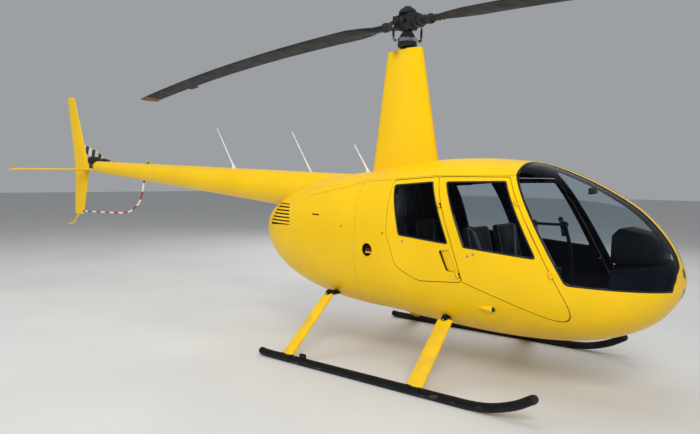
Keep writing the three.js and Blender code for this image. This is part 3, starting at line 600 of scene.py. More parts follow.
class Recipe:
    """A node material in the making, with short calls for the nodes it needs."""

    def __init__(self, name, colour, roughness, metallic=0.0, **sockets):
        self.material = bpy.data.materials.new(name)
        self.material.use_nodes = True
        self.tree = self.material.node_tree
        self.shader = self.tree.nodes["Principled BSDF"]
        self.colour = (*colour, 1.0)
        self.set("Base Color", self.colour)
        self.set("Roughness", roughness)
        self.set("Metallic", metallic)
        for socket, value in sockets.items():
            self.set(socket.replace("_", " "), value)

    def set(self, socket, value):
        target = self.shader.inputs[socket]
        if isinstance(value, bpy.types.NodeSocket):
            self.tree.links.new(value, target)
        else:
            target.default_value = value

    def node(self, kind, inputs=None, **settings):
        node = self.tree.nodes.new(kind)
        for key, value in settings.items():
            setattr(node, key, value)
        for key, value in (inputs or {}).items():
            if isinstance(value, bpy.types.NodeSocket):
                self.tree.links.new(value, node.inputs[key])
            else:
                node.inputs[key].default_value = value
        return node

    def place(self, stretch=(1, 1, 1), turn=(0, 0, 0)):
        at = self.node("ShaderNodeTexCoord").outputs["Object"]
        return self.node("ShaderNodeMapping", {"Vector": at, "Scale": stretch, "Rotation": turn}).outputs[0]

    def noise(self, scale, detail=3.0, stretch=(1, 1, 1), turn=(0, 0, 0), distortion=0.0):
        return self.node("ShaderNodeTexNoise", {
            "Vector": self.place(stretch, turn), "Scale": scale, "Detail": detail, "Distortion": distortion,
        }).outputs["Fac"]

    def cells(self, scale, feature="F1", stretch=(1, 1, 1)):
        return self.node("ShaderNodeTexVoronoi", {
            "Vector": self.place(stretch), "Scale": scale}, feature=feature).outputs["Distance"]

    def axis(self, letter, turn=(0, 0, 0)):
        return self.node("ShaderNodeSeparateXYZ", {"Vector": self.place(turn=turn)}).outputs[letter]

    def attribute(self, name):
        return self.node("ShaderNodeAttribute", attribute_name=name).outputs["Fac"]

    def math(self, operation, a, b=0.0):
        return self.node("ShaderNodeMath", {0: a, 1: b}, operation=operation).outputs[0]

    def span(self, value, low, high, to_low=0.0, to_high=1.0):
        """value between low and high, as a number from to_low to to_high."""
        return self.node("ShaderNodeMapRange", {
            "Value": value, "From Min": low, "From Max": high, "To Min": to_low, "To Max": to_high,
        }).outputs[0]

    def mix(self, share, a, b):
        """Colour a where share is 0 and b where it is 1."""
        node = self.node("ShaderNodeMix", data_type="RGBA")
        for socket, value in ((node.inputs[0], share), (node.inputs[6], a), (node.inputs[7], b)):
            if isinstance(value, bpy.types.NodeSocket):
                self.tree.links.new(value, socket)
            elif isinstance(value, (int, float)):
                socket.default_value = value
            else:
                socket.default_value = value if len(value) == 4 else (*value, 1.0)
        return node.outputs[2]

    def bump(self, height, strength, distance):
        normal = self.node("ShaderNodeBump", {"Height": height, "Strength": strength, "Distance": distance})
        self.set("Normal", normal.outputs[0])


def shade(colour, by):
    return tuple(min(1.0, c * by) for c in colour[:3])


def weathered_paint(name, colour, roughness=0.34, coat=0.15):
    """Gloss paint with a faint orange peel, cloudy tone, and a brown darkening towards the belly that is
    partly dust and partly painted shade.
    """
    r = Recipe(name, colour, roughness, Coat_Weight=coat, Coat_Roughness=0.06,
               Specular_IOR_Level=0.2)
    cloud = r.span(r.noise(1.6, 4), 0.3, 0.7)
    tone = r.mix(cloud, shade(colour, 0.94), shade(colour, 1.04))
    # Brown darkening towards the belly: partly dust, partly painted shade for the dimmer light under the body
    low = r.span(r.axis("Z"), 0.62, 0.36)
    dust_and_belly_shade = r.math("MULTIPLY", low, r.span(r.noise(7, 8), 0.35, 0.75, 0.0, 0.4))
    specks = r.math("MULTIPLY", r.span(r.noise(55, 6), 0.63, 0.72), 0.25)
    dirt_and_belly_shade = r.math("MAXIMUM", dust_and_belly_shade, r.math("MULTIPLY", specks, r.span(r.axis("Z"), 1.3, 0.4)))
    r.set("Base Color", r.mix(dirt_and_belly_shade, tone, (0.27, 0.19, 0.09)))
    r.set("Roughness", r.math("ADD", r.span(r.noise(5, 5), 0.2, 0.8, roughness - 0.06, roughness + 0.08),
                              r.math("MULTIPLY", dirt_and_belly_shade, 0.4)))
    r.bump(r.noise(150, 2), 0.045, 0.001)
    return r


def yellow_paint():
    return weathered_paint("yellow_paint", tuple(paint_colours().body)).material


def fairing_paint():
    """The body paint with rust that has run from the seam at the top rear of the mast fairing."""
    colour = tuple(paint_colours().body)
    r = weathered_paint("fairing_paint", colour)
    streak = r.span(r.noise(9, 6, stretch=(1, 1, 0.12)), 0.46, 0.66)
    top = r.span(r.axis("Z"), 2.78, 2.86)
    rear = r.span(r.axis("X"), 0.74, 0.66)
    share = r.math("MULTIPLY", r.math("MULTIPLY", streak, top), r.math("MULTIPLY", rear, 0.9))
    old = r.shader.inputs["Base Color"].links[0].from_socket
    r.set("Base Color", r.mix(share, old, (0.30, 0.075, 0.012)))
    return r.material


def sooty_paint():
    """The body paint with soot behind the exhaust outlet."""
    r = weathered_paint("sooty_paint", tuple(paint_colours().body))
    place = r.node("ShaderNodeVectorMath", {
        0: r.place(stretch=(0.55, 1.6, 1.0)), 1: (-0.36, 0.19, 0.56)}, operation="DISTANCE").outputs["Value"]
    soot = r.math("MULTIPLY", r.span(place, 0.34, 0.05), r.span(r.noise(14, 6), 0.3, 0.7, 0.25, 0.9))
    old = r.shader.inputs["Base Color"].links[0].from_socket
    r.set("Base Color", r.mix(soot, old, (0.05, 0.035, 0.022)))
    return r.material


def black_paint():
    colour = tuple(paint_colours().skids)
    r = Recipe("black_paint", colour, 0.5, Specular_IOR_Level=0.25)
    scuff = r.span(r.noise(38, 8, stretch=(0.3, 1, 1)), 0.6, 0.72)
    worn = r.math("MULTIPLY", scuff, r.span(r.axis("Z"), 0.06, 0.0, 0.15, 0.9))
    r.set("Base Color", r.mix(worn, colour, (0.16, 0.15, 0.14)))
    r.set("Roughness", r.span(r.noise(12, 5), 0.3, 0.7, 0.33, 0.55))
    r.bump(r.noise(220, 3), 0.08, 0.001)
    return r.material


def blade_paint():
    """Charcoal paint, rubbed along the blade, with a bare rusty patch under each tip."""
    colour = tuple(paint_colours().blades)
    r = Recipe("blade_paint", colour, 0.5, Specular_IOR_Level=0.3)
    turn = (0, 0, -ROTOR_TURN)
    rubbed = r.span(r.noise(5, 8, stretch=(0.35, 3.5, 1), turn=turn), 0.45, 0.75)
    tone = r.mix(rubbed, shade(colour, 0.8), shade(colour, 1.9))
    along = r.math("ABSOLUTE", r.math("SUBTRACT", r.axis("X", turn), MAST.x * math.cos(ROTOR_TURN)))
    bare = r.math("MULTIPLY", r.attribute("under"), r.span(along, 4.80, 4.82))
    patch = r.mix(r.span(r.noise(30, 6), 0.35, 0.65), (0.33, 0.10, 0.02), (0.20, 0.07, 0.025))
    r.set("Base Color", r.mix(bare, tone, patch))
    r.set("Roughness", r.span(r.noise(8, 5), 0.3, 0.7, 0.42, 0.62))
    r.bump(r.noise(160, 3), 0.06, 0.001)
    return r.material


def banded(name, light, dark, pitch, share=0.5):
    """Paint in bands along a piece, by its own attribute, along."""
    r = Recipe(name, light, 0.32, Coat_Weight=0.4, Coat_Roughness=0.1)
    phase = r.math("FRACT", r.math("DIVIDE", r.attribute("along"), pitch))
    band = r.span(phase, share - 0.01, share + 0.01)
    scuff = r.span(r.noise(60, 8), 0.6, 0.75, 0.0, 0.5)
    r.set("Base Color", r.mix(scuff, r.mix(band, light, dark), (0.25, 0.22, 0.2)))
    r.bump(r.noise(200, 3), 0.05, 0.001)
    return r.material


def guard_paint():
    return banded("white_paint", (0.8, 0.8, 0.77), (0.36, 0.008, 0.02), 0.25)


def tail_blade_paint():
    return banded("tail_blade_paint", (0.75, 0.76, 0.78), (0.014, 0.015, 0.018), 0.205)


def clear_glazing():
    """Tinted acrylic that lets lamps through to the cabin."""
    tint = tuple(paint_colours().glass)
    r = Recipe("clear_glazing", tint, 0.015, IOR=1.12, Transmission_Weight=1.0)
    through = r.node("ShaderNodeBsdfTransparent", {"Color": (*shade(tint, 0.95), 1.0)}).outputs[0]
    lamp = r.node("ShaderNodeLightPath").outputs["Is Shadow Ray"]
    output = r.tree.nodes["Material Output"]
    mixed = r.node("ShaderNodeMixShader", {0: lamp, 1: r.shader.outputs[0], 2: through})
    r.tree.links.new(mixed.outputs[0], output.inputs["Surface"])
    return r.material


def lining():
    """Grained vinyl."""
    colour = tuple(paint_colours().lining)
    r = Recipe("lining", colour, 0.6, Specular_IOR_Level=0.2)
    r.set("Base Color", r.mix(r.span(r.noise(4, 5), 0.3, 0.7), shade(colour, 0.85), shade(colour, 1.25)))
    r.bump(r.math("ADD", r.cells(420), r.math("MULTIPLY", r.noise(30, 3), 0.6)), 0.25, 0.0008)
    return r.material


def seat_leather():
    """Grained leather with a soft sheen where it is sat on."""
    colour = tuple(paint_colours().leather)
    r = Recipe("seat_leather", colour, 0.45, Specular_IOR_Level=0.3)
    worn = r.span(r.noise(9, 5), 0.35, 0.75)
    r.set("Base Color", r.mix(worn, shade(colour, 0.8), shade(colour, 1.5)))
    r.set("Roughness", r.span(r.noise(13, 5), 0.3, 0.7, 0.38, 0.58))
    grain = r.math("ADD", r.cells(330), r.math("MULTIPLY", r.noise(28, 4), 1.6))
    r.bump(grain, 0.35, 0.0008)
    return r.material


def webbing():
    """Woven harness webbing."""
    r = Recipe("webbing", (0.10, 0.10, 0.105), 0.8, Sheen_Weight=0.25)
    weave = r.node("ShaderNodeTexWave", {
        "Vector": r.place(turn=(0.4, 0.3, 0.2)), "Scale": 160.0, "Distortion": 1.0}).outputs["Fac"]
    r.set("Base Color", r.mix(weave, (0.07, 0.07, 0.075), (0.15, 0.15, 0.155)))
    r.bump(weave, 0.5, 0.0006)
    return r.material


def plain(name, colour, roughness, metallic=0.0, tones=None, gloss=None, relief=None, stretch=(1, 1, 1),
          **sockets):
    """A maker of a material that has clouds of two tones, uneven gloss and a fine relief, where given."""
    def make():
        r = Recipe(name, colour, roughness, metallic, **sockets)
        if gloss:
            scale, detail, least, most = gloss
            r.set("Roughness", r.span(r.noise(scale, detail, stretch), 0.3, 0.7, least, most))
        if tones:
            scale, detail, low, high, first, second = tones
            r.set("Base Color", r.mix(r.span(r.noise(scale, detail), low, high), first, second))
        scale, detail, strength, depth = relief
        r.bump(r.noise(scale, detail, stretch) if detail else r.cells(scale), strength, depth)
        return r.material
    return make


LENS_SOCKETS = {"Transmission_Weight": 0.6, "IOR": 1.45}
ALONG_Z = (1, 1, 0.1)
# A relief with no detail is made of cells, any other of noise
PLAIN = {
    "white_paint": plain(
        "aerial_white", (0.78, 0.78, 0.75), 0.4,
        tones=(40, 6, 0.45, 0.8, (0.8, 0.8, 0.77), (0.55, 0.53, 0.47)), relief=(300, 2, 0.05, 0.001)),
    "lamp_glass": plain(
        "lamp_glass", (0.95, 0.96, 0.97), 0.02, relief=(120, 0, 0.2, 0.001),
        IOR=1.45, Transmission_Weight=1.0),
    "rubber": plain(
        "rubber", (0.012, 0.012, 0.013), 0.55, gloss=(25, 5, 0.45, 0.7), relief=(180, 4, 0.1, 0.001)),
    "thread": plain("thread", (0.10, 0.105, 0.115), 0.8, relief=(900, 2, 0.4, 0.0005), Sheen_Weight=0.3),
    "grey_carpet": plain(
        "grey_carpet", (0.03, 0.031, 0.035), 0.95,
        tones=(260, 4, 0.3, 0.7, (0.008, 0.0085, 0.01), (0.022, 0.0225, 0.026)), relief=(420, 4, 0.9, 0.003),
        Sheen_Weight=0.4),
    "black_trim": plain(
        "black_trim", (0.006, 0.006, 0.008), 0.5, gloss=(30, 5, 0.38, 0.6), relief=(500, 0, 0.15, 0.0006),
        Specular_IOR_Level=0.25),
    "steel": plain(
        "bare_steel", (0.52, 0.52, 0.53), 0.3, 1.0, gloss=(40, 6, 0.2, 0.42),
        tones=(12, 6, 0.45, 0.8, (0.56, 0.56, 0.57), (0.26, 0.24, 0.22)), relief=(240, 4, 0.08, 0.0006),
        stretch=ALONG_Z),
    "burnt_steel": plain(
        "burnt_steel", (0.3, 0.26, 0.22), 0.5, 0.9,
        tones=(16, 7, 0.35, 0.7, (0.34, 0.28, 0.22), (0.07, 0.055, 0.05)), relief=(120, 5, 0.25, 0.001)),
    "casting": plain(
        "grey_casting", (0.03, 0.031, 0.034), 0.45, 0.6, gloss=(34, 5, 0.28, 0.6),
        tones=(22, 7, 0.4, 0.75, (0.045, 0.046, 0.05), (0.010, 0.009, 0.009)), relief=(170, 6, 0.25, 0.001)),
    "engine_casting": plain("engine_casting", (0.09, 0.09, 0.095), 0.65, 0.5, relief=(90, 6, 0.4, 0.002)),
    "red_lens": plain("red_lens", (0.62, 0.02, 0.012), 0.08, relief=(160, 0, 0.12, 0.001), **LENS_SOCKETS),
    "green_lens": plain(
        "green_lens", (0.004, 0.09, 0.045), 0.08, relief=(160, 0, 0.12, 0.001), **LENS_SOCKETS),
    "dial_face": plain("dial_face", (0.008, 0.008, 0.009), 0.12, relief=(60, 2, 0.03, 0.0005)),
    "pale_floor": plain(
        "pale_floor", (0.62, 0.62, 0.61), 0.75, relief=(30, 5, 0.05, 0.002),
        tones=(0.7, 5, 0.3, 0.7, (0.60, 0.60, 0.59), (0.64, 0.64, 0.63))),
}
SPECIAL = (
    yellow_paint, fairing_paint, sooty_paint, black_paint, blade_paint, guard_paint, tail_blade_paint,
    clear_glazing, lining, seat_leather, webbing,
)


def finish_maker(make):
    """A call that makes the material once and then gives it again."""
    made = []

    def give():
        if not made:
            made.append(make())
        return made[0]
    return give


MAKERS = {**PLAIN, **{make.__name__: make for make in SPECIAL}}
FINISHES = {name: finish_maker(make) for name, make in MAKERS.items()}

SLOTS = {
    "fairing_paint": "yellow_paint", "sooty_paint": "yellow_paint", "guard_paint": "white_paint",
    "tail_blade_paint": "blade_paint", "green_lens": "lamp_glass",
    "rubber": "black_trim", "lining": "black_trim", "webbing": "black_trim", "dial_face": "black_trim",
    "thread": "seat_leather", "steel": "bare_steel", "burnt_steel": "bare_steel", "casting": "grey_casting",
}


# Small forms repeated along lines

def repeat_tree():
    """Stands one form at even steps along lines, upright on their facing attribute."""
    tree = bpy.data.node_groups.new("Repeat along lines", "GeometryNodeTree")
    tree.is_modifier = True
    for name, kind, value, note in (
        ("Lines", "NodeSocketGeometry", None, "Edges to follow"),
        ("Form", "NodeSocketObject", None, "Form to repeat, standing on its own origin"),
        ("Pitch", "NodeSocketFloat", 0.03, "Distance between two forms"),
        ("Wobble", "NodeSocketFloat", 0.0, "How much the forms differ in size"),
        ("Seed", "NodeSocketInt", 7, "Start of the differences in size"),
        ("Material", "NodeSocketMaterial", None, "Material of the forms"),
    ):
        socket = tree.interface.new_socket(name, in_out="INPUT", socket_type=kind, description=note)
        if value is not None:
            socket.default_value = value
    tree.interface.new_socket("Geometry", in_out="OUTPUT", socket_type="NodeSocketGeometry")

    def node(kind, **settings):
        made = tree.nodes.new(kind)
        for key, value in settings.items():
            setattr(made, key, value)
        return made

    def live(sockets, name):
        return next(s for s in sockets if s.name == name and s.enabled)

    given = node("NodeGroupInput").outputs
    curve = node("GeometryNodeMeshToCurve")
    steps = node("GeometryNodeResampleCurve", mode="LENGTH")
    form = node("GeometryNodeObjectInfo", transform_space="ORIGINAL")
    facing = node("GeometryNodeInputNamedAttribute", data_type="FLOAT_VECTOR")
    facing.inputs["Name"].default_value = "facing"
    tangent = node("GeometryNodeInputTangent")
    turn = node("FunctionNodeAxesToRotation", primary_axis="Z", secondary_axis="X")
    small = node("ShaderNodeMath", operation="SUBTRACT")
    small.inputs[0].default_value = 1.0
    large = node("ShaderNodeMath", operation="ADD")
    large.inputs[0].default_value = 1.0
    size = node("FunctionNodeRandomValue", data_type="FLOAT")
    place = node("GeometryNodeInstanceOnPoints")
    real = node("GeometryNodeRealizeInstances")
    coat = node("GeometryNodeSetMaterial")
    out = node("NodeGroupOutput")
    for a, b in (
        (given["Lines"], curve.inputs["Mesh"]),
        (curve.outputs["Curve"], steps.inputs["Curve"]),
        (given["Pitch"], live(steps.inputs, "Length")),
        (steps.outputs["Curve"], place.inputs["Points"]),
        (given["Form"], form.inputs["Object"]),
        (form.outputs["Geometry"], place.inputs["Instance"]),
        (live(facing.outputs, "Attribute"), turn.inputs["Primary Axis"]),
        (tangent.outputs["Tangent"], turn.inputs["Secondary Axis"]),
        (turn.outputs["Rotation"], place.inputs["Rotation"]),
        (given["Wobble"], small.inputs[1]),
        (given["Wobble"], large.inputs[1]),
        (small.outputs[0], live(size.inputs, "Min")),
        (large.outputs[0], live(size.inputs, "Max")),
        (given["Seed"], size.inputs["Seed"]),
        (live(size.outputs, "Value"), place.inputs["Scale"]),
        (place.outputs["Instances"], real.inputs["Geometry"]),
        (real.outputs["Geometry"], coat.inputs["Geometry"]),
        (given["Material"], coat.inputs["Material"]),
        (coat.outputs["Geometry"], out.inputs["Geometry"]),
    ):
        tree.links.new(a, b)
    return tree


repeat_group = finish_maker(repeat_tree)


def repeat(name, form, lines, pitch, finish, body="airframe", wobble=0.0):
    """The form at every pitch millimetres along lines of (points, facing directions)."""
    points, facings, edges = [], [], []
    for line, facing in lines:
        edges.extend((len(points) + i, len(points) + i + 1) for i in range(len(line) - 1))
        points.extend(line)
        facings.extend(facing)
    rails_mesh = bpy.data.meshes.new(name)
    rails_mesh.from_pydata([tuple(p) for p in np.asarray(points) * MM + np.array(MAST)], edges, [])
    attribute = rails_mesh.attributes.new("facing", "FLOAT_VECTOR", "POINT")
    attribute.data.foreach_set("vector", np.asarray(facings, float).ravel())
    rails = stood(name, rails_mesh)
    form_mesh = mesh_of(form)
    form_mesh.transform(Matrix.Translation(-MAST))
    form_object = stood("form", form_mesh)
    modifier = rails.modifiers.new("repeat", "NODES")
    modifier.node_group = repeat_group()
    settings = {
        "Form": form_object, "Pitch": pitch * MM, "Wobble": wobble, "Seed": 7, "Material": FINISHES[finish](),
    }
    for item in modifier.node_group.interface.items_tree:
        if item.name in settings:
            modifier[item.identifier] = settings[item.name]
    rails.update_tag()
    bpy.context.view_layer.update()
    mesh = baked(rails)
    for thing in (rails, form_object):
        bpy.data.objects.remove(thing)
    return piece(name, mesh, finish, body)


def dome(radius, height, sides=10):
    """A rivet's or screw's head on the plane z = 0."""
    profile = [(radius, 0), (radius, 0.3 * height + 1), (0.72 * radius, 0.8 * height + 1), (0, height + 1)]
    return turned(profile, (0, 0, -1), (0, 0, 0), sides)


def skin_line(path, side=-1, step=25.0):
    """A line over the fuselage's side through (x, z) points, with the directions that it faces."""
    points = []
    for (x0, z0), (x1, z1) in zip(path, path[1:]):
        count = max(2, int(math.hypot(x1 - x0, z1 - z0) / step))
        for t in np.linspace(0, 1, count, endpoint=False):
            points.append(skin_point(x0 + (x1 - x0) * t, z0 + (z1 - z0) * t, side))
    points.append(skin_point(*path[-1], side))
    points = np.array(points)
    return points, skin_normal(points)


def skin_hoop(x, low, high, count=60):
    """A line over the fuselage at station x between two angles, in degrees from +Y over the top."""
    top, bottom, half, wide, square_top, square_bottom = skin_rows(x)
    points = []
    for angle in np.radians(np.linspace(low, high, count)):
        c, s = math.cos(angle), math.sin(angle)
        rise, square = (top - wide, square_top) if s > 0 else (wide - bottom, square_bottom)
        reach = (abs(c) ** square + abs(s) ** square) ** (-1 / square)
        points.append((x, half * c * reach, wide + rise * s * reach))
    points = np.array(points)
    return points, skin_normal(points)


# Cutters that several pieces share

NOSE_CHEEKS = [
    (-STRIP_HALF, 2100, 0), (-STRIP_HALF, 1100, 0), (-60, 1033, 0), (-142, 985, 0), (-198, 913, 0),
    (-206, 852, 0), (-215, 700, 0), (-900, 700, 0), (-900, 2100, 0),
]
STRUTS = {
    "front": {"x": 825, "top_x": 772, "top_z": 482, "chord": 150, "thick": 52},
    "rear": {"x": -525, "top_x": -505, "top_z": 545, "chord": 128, "thick": 48},
}
STRUT_TOP_Y = 520.0
STRUT_FOOT_Z = 66.0
ELBOW_RADIUS = 40.0
EXHAUST_PATH = [(-1180, 120, 700), (-1210, 120, 640), (-1250, 120, 580), (-1310, 120, 530)]
EXHAUST_RADIUS = 34.0
LAMP_HEIGHTS = (978.0, 836.0)
PORT = (10.0, 1014.0, 60.0)
LOUVRE = [(-1112, 1168, 18), (-1188, 1382, 18), (-1440, 1382, 30), (-1540, 1150, 30)]
VENT_SLOT = [(-648, 1287, 5), (-648, 1301, 5), (-758, 1303, 5), (-758, 1289, 5)]
HANDLE = [(764, 1070, 14), (864, 1083, 20), (945, 900, 20), (839, 911, 12)]


def room(corners, gap=0.0, inner=300.0):
    """A side outline, grown by a gap, pushed through both sides of the fuselage."""
    return both(side_prism(rounded(grown(corners, gap)), -OUTSIDE, -inner))


def glass_room(gap):
    """Where the right windshield goes, grown by a gap."""
    cheeks = front_prism([(y, z) for y, z, _ in grown(NOSE_CHEEKS, gap)], 1200, 2600)
    return carve(side_prism(rounded(grown(WINDSHIELD, gap)), -OUTSIDE, 0), keep(cheeks))


def no_glass(gap):
    """Carving steps for both windshields' room."""
    right = glass_room(gap)
    return minus(right), minus(flipped(right))


def roof_room(lift, back):
    """All that lies above the roof's seam and behind the windshield, lift above and back behind them."""
    front = ROOF_FRONT - back
    low = [(x, z + lift) for x, z in ROOF_SEAM if x < front]
    outline = [(front, ROOF_SEAM[1][1] + lift), *low, (-900, 2100), (front, 2100)]
    return side_prism(outline, -OUTSIDE, OUTSIDE)


def fairing_ring(z, grow=0.0):
    t = (z - 1640) / (2885 - 1640)
    front, back, thick = 392 + t * (174 - 392), -392 + t * (392 - 221), 236 + t * (150 - 236)
    section = airfoil(front - back + 2 * grow, thick + 2 * grow, 64)
    return [((front + back) / 2 + a, b, z) for a, b in section]


def fairing(grow=0.0, low=1640.0, high=2885.0):
    return loft([fairing_ring(z, grow) for z in np.linspace(low, high, 14)])


def cone(grow=0.0, start=0.0):
    c = TAILCONE
    a, b = Vector((c["x0"], 0, c["z0"])), Vector((c["x1"], 0, c["z1"]))
    long = (b - a).length
    radius = [c["r0"] + (c["r1"] - c["r0"]) * t + grow for t in (0, 1)]
    return turned([(radius[0], start - grow), (radius[1], long + grow)], a, b, 96)


def strut(row, grow=0.0):
    """A faired strut of the right side, from its ball joint to the skid."""
    s = STRUTS[row]
    head = Vector((s["top_x"], -STRUT_TOP_Y, s["top_z"]))
    down = (Vector((s["x"], -SKID_Y, STRUT_FOOT_Z)) - head).normalized()
    across = (Vector((1, 0, 0)) - down * down.x).normalized()
    out = down.cross(across)
    top = head + down * 12
    foot = Vector((s["x"], -SKID_Y, STRUT_FOOT_Z - 12))
    rings = []
    for t in np.linspace(0, 1, 10):
        size = 0.92 + 0.08 * t
        section = airfoil(s["chord"] * size + 2 * grow, s["thick"] * size + 2 * grow, 40)
        rings.append([tuple(top.lerp(foot, t) + across * a + out * b) for a, b in section])
    return loft(rings)


def gear_room():
    """Carving steps for the struts' and ball joints' room in the fuselage's skin."""
    steps = []
    for row, s in STRUTS.items():
        steps.append(minus(both(strut(row, 7))))
        joint = ball((s["top_x"], -STRUT_TOP_Y, s["top_z"]), ELBOW_RADIUS + 6, 24)
        steps.append(minus(both(joint)))
    return steps


def light_room(grow):
    radius = 37 + grow
    lamps = [plus(bore((2360, 0, z), (2460, 0, z), radius, 48)) for z in LAMP_HEIGHTS]
    plate = block(
        2350 - grow, 2366 + grow, -radius, radius, LAMP_HEIGHTS[1] - radius, LAMP_HEIGHTS[0] + radius)
    return carve(plate, *lamps)


def wall(outer, inner, *steps):
    """The fuselage's wall between two depths under its surface, after carving steps."""
    first = [minus(hull(inner))]
    return carve(hull(outer), *first, *steps)


def hinge_edge_room():
    """Carving steps for what the front doors' hinge edges swing through as they open wide."""
    low, high = [Vector(p) for p in HINGES["front"]]
    leaf = shape_of(wall(-1, 6, keep(right_room(FRONT_DOOR, 0.8)),
                         keep(block(1200, 1660, -OUTSIDE, -300, 1080, 1650))))
    steps = []
    for degrees in (46, 54, 62, 69, 76):
        turn = Matrix.Translation(low) @ Matrix.Rotation(math.radians(degrees), 4, high - low)
        steps.append(minus(both(moved(leaf, turn @ Matrix.Translation(-low)))))
    return steps


class HELICOPTER_OT_shell(bpy.types.Operator):
    """Painted cabin shell, roof cowl and engine cowl, with the cabin's dark lining"""

    bl_idname = "helicopter.shell"
    bl_label = "Painted Shell"

    def execute(self, context):
        skin = sizes().skin / MM
        ahead = block(COWL_SEAM + 1.2, 2600, -OUTSIDE, OUTSIDE, 0, OVERHEAD)
        aft = block(-2000, COWL_SEAM - 1.2, -OUTSIDE, OUTSIDE, 0, OVERHEAD)
        strip = block(ROOF_FRONT, 2600, -STRIP_HALF, STRIP_HALF, STRIP_FOOT_Z, OVERHEAD)
        port = both(bore((PORT[0], -OUTSIDE, PORT[1]), (PORT[0], -300, PORT[1]), PORT[2], 64))
        cabin = wall(
            0, skin, keep(ahead), minus(roof_room(0, 0)),
            minus(room(FRONT_DOOR, DOOR_GAP)), minus(room(REAR_DOOR, DOOR_GAP)),
            minus(strip), *no_glass(TOUCH), *gear_room(),
            minus(light_room(TOUCH)), minus(port), *hinge_edge_room())
        piece("cabin_skin", cabin, "yellow_paint", stands_for=["cabin_shell"], skin=True)
        roof = biggest(wall(
            0, skin, keep(roof_room(2.4, 0.6)), minus(fairing(0.8)),
            minus(cone(0.8)), *no_glass(TOUCH)))
        piece("roof_skin", roof, "yellow_paint", stands_for=["roof_cowl"], skin=True)
        cowl = wall(
            0, skin, keep(aft), minus(above_cowl()), minus(cone(TOUCH)),
            *gear_room(), minus(tube(EXHAUST_PATH, EXHAUST_RADIUS + 6)),
            minus(room(LOUVRE, inner=60)), minus(room(VENT_SLOT)))
        piece("cowl_skin", cowl, "sooty_paint", stands_for=["engine_cowl"], skin=True)
        inner = wall(
            skin + 0.4, 26, keep(block(COWL_SEAM + 25, 2600, -OUTSIDE, OUTSIDE, 500, OVERHEAD)),
            minus(room(FRONT_DOOR, 12.2)), minus(room(REAR_DOOR, 12.2)),
            minus(port), *no_glass(0.8), minus(light_room(3)))
        piece("cabin_lining", inner, "lining")
        for row, outline in (("front", FRONT_DOOR), ("rear", REAR_DOOR)):
            for layer, near, deep, finish in (
                    ("outer", skin + 0.3, 12, "yellow_paint"), ("inner", 12.2, 26, "lining")):
                jamb = wall(near, deep, keep(room(outline, 12)), minus(room(FRONT_DOOR, 6.4)),
                            minus(room(REAR_DOOR, 6.4)), *no_glass(0.8))
                piece(f"{row}_door_jambs_{layer}", jamb, finish)
        bow = wall(12, 34, keep(block(ROOF_FRONT, 2600, -46, 46, 1120, OVERHEAD)))
        piece("windshield_bow", bow, "lining")
        shelf = side_prism([(2060, 700), (2420, 700), (2420, 1064), (2060, 1011)], -OUTSIDE, OUTSIDE)
        piece("nose_shelf", carve(hull(27), keep(shelf), minus(light_room(1))), "lining")
        band = [
            (1038, 740), (933, 1120), (813, 1440), (743, 1650),
            (673, 1650), (743, 1440), (863, 1120), (968, 740)]
        posts = carve(hull(32), minus(hull(56)), keep(both(side_prism(band, -OUTSIDE, -300))))
        piece("door_posts", posts, "lining")
        return {"FINISHED"}


def above_cowl():
    """All that lies above the roof's seam, as the engine cowl meets it."""
    outline = [*ROOF_SEAM, (-900, OVERHEAD), (1800, OVERHEAD)]
    return side_prism(outline, -OUTSIDE, OUTSIDE)


def side_lights():
    """A small lamp in a teardrop fairing low on each side, and the drains under the belly."""
    at = Vector(skin_point(1210, 643))
    ahead = Vector((1, 0, 0))
    tear = turned([(25, 0), (28, 12), (27, 34), (19, 78), (8, 116), (0, 128)], at + ahead * 24, at, 32)
    piece("side_light_fairings", both(tear), "yellow_paint")
    lens = turned([(22, 0), (21, 7), (14, 16), (0, 21)], at + ahead * 24.5, at + ahead * 50, 32)
    piece("side_light_right", lens, "green_lens")
    piece("side_light_left", mirrored(lens), "red_lens")
    drains = []
    for x in (-20, 420, -820):
        z = skin_rows(x)[1]
        drains.append(rod((x, 0, z + 4), (x - 18, 0, z - 26), 7, 6))
    piece("belly_drains", joined(*drains), "yellow_paint")


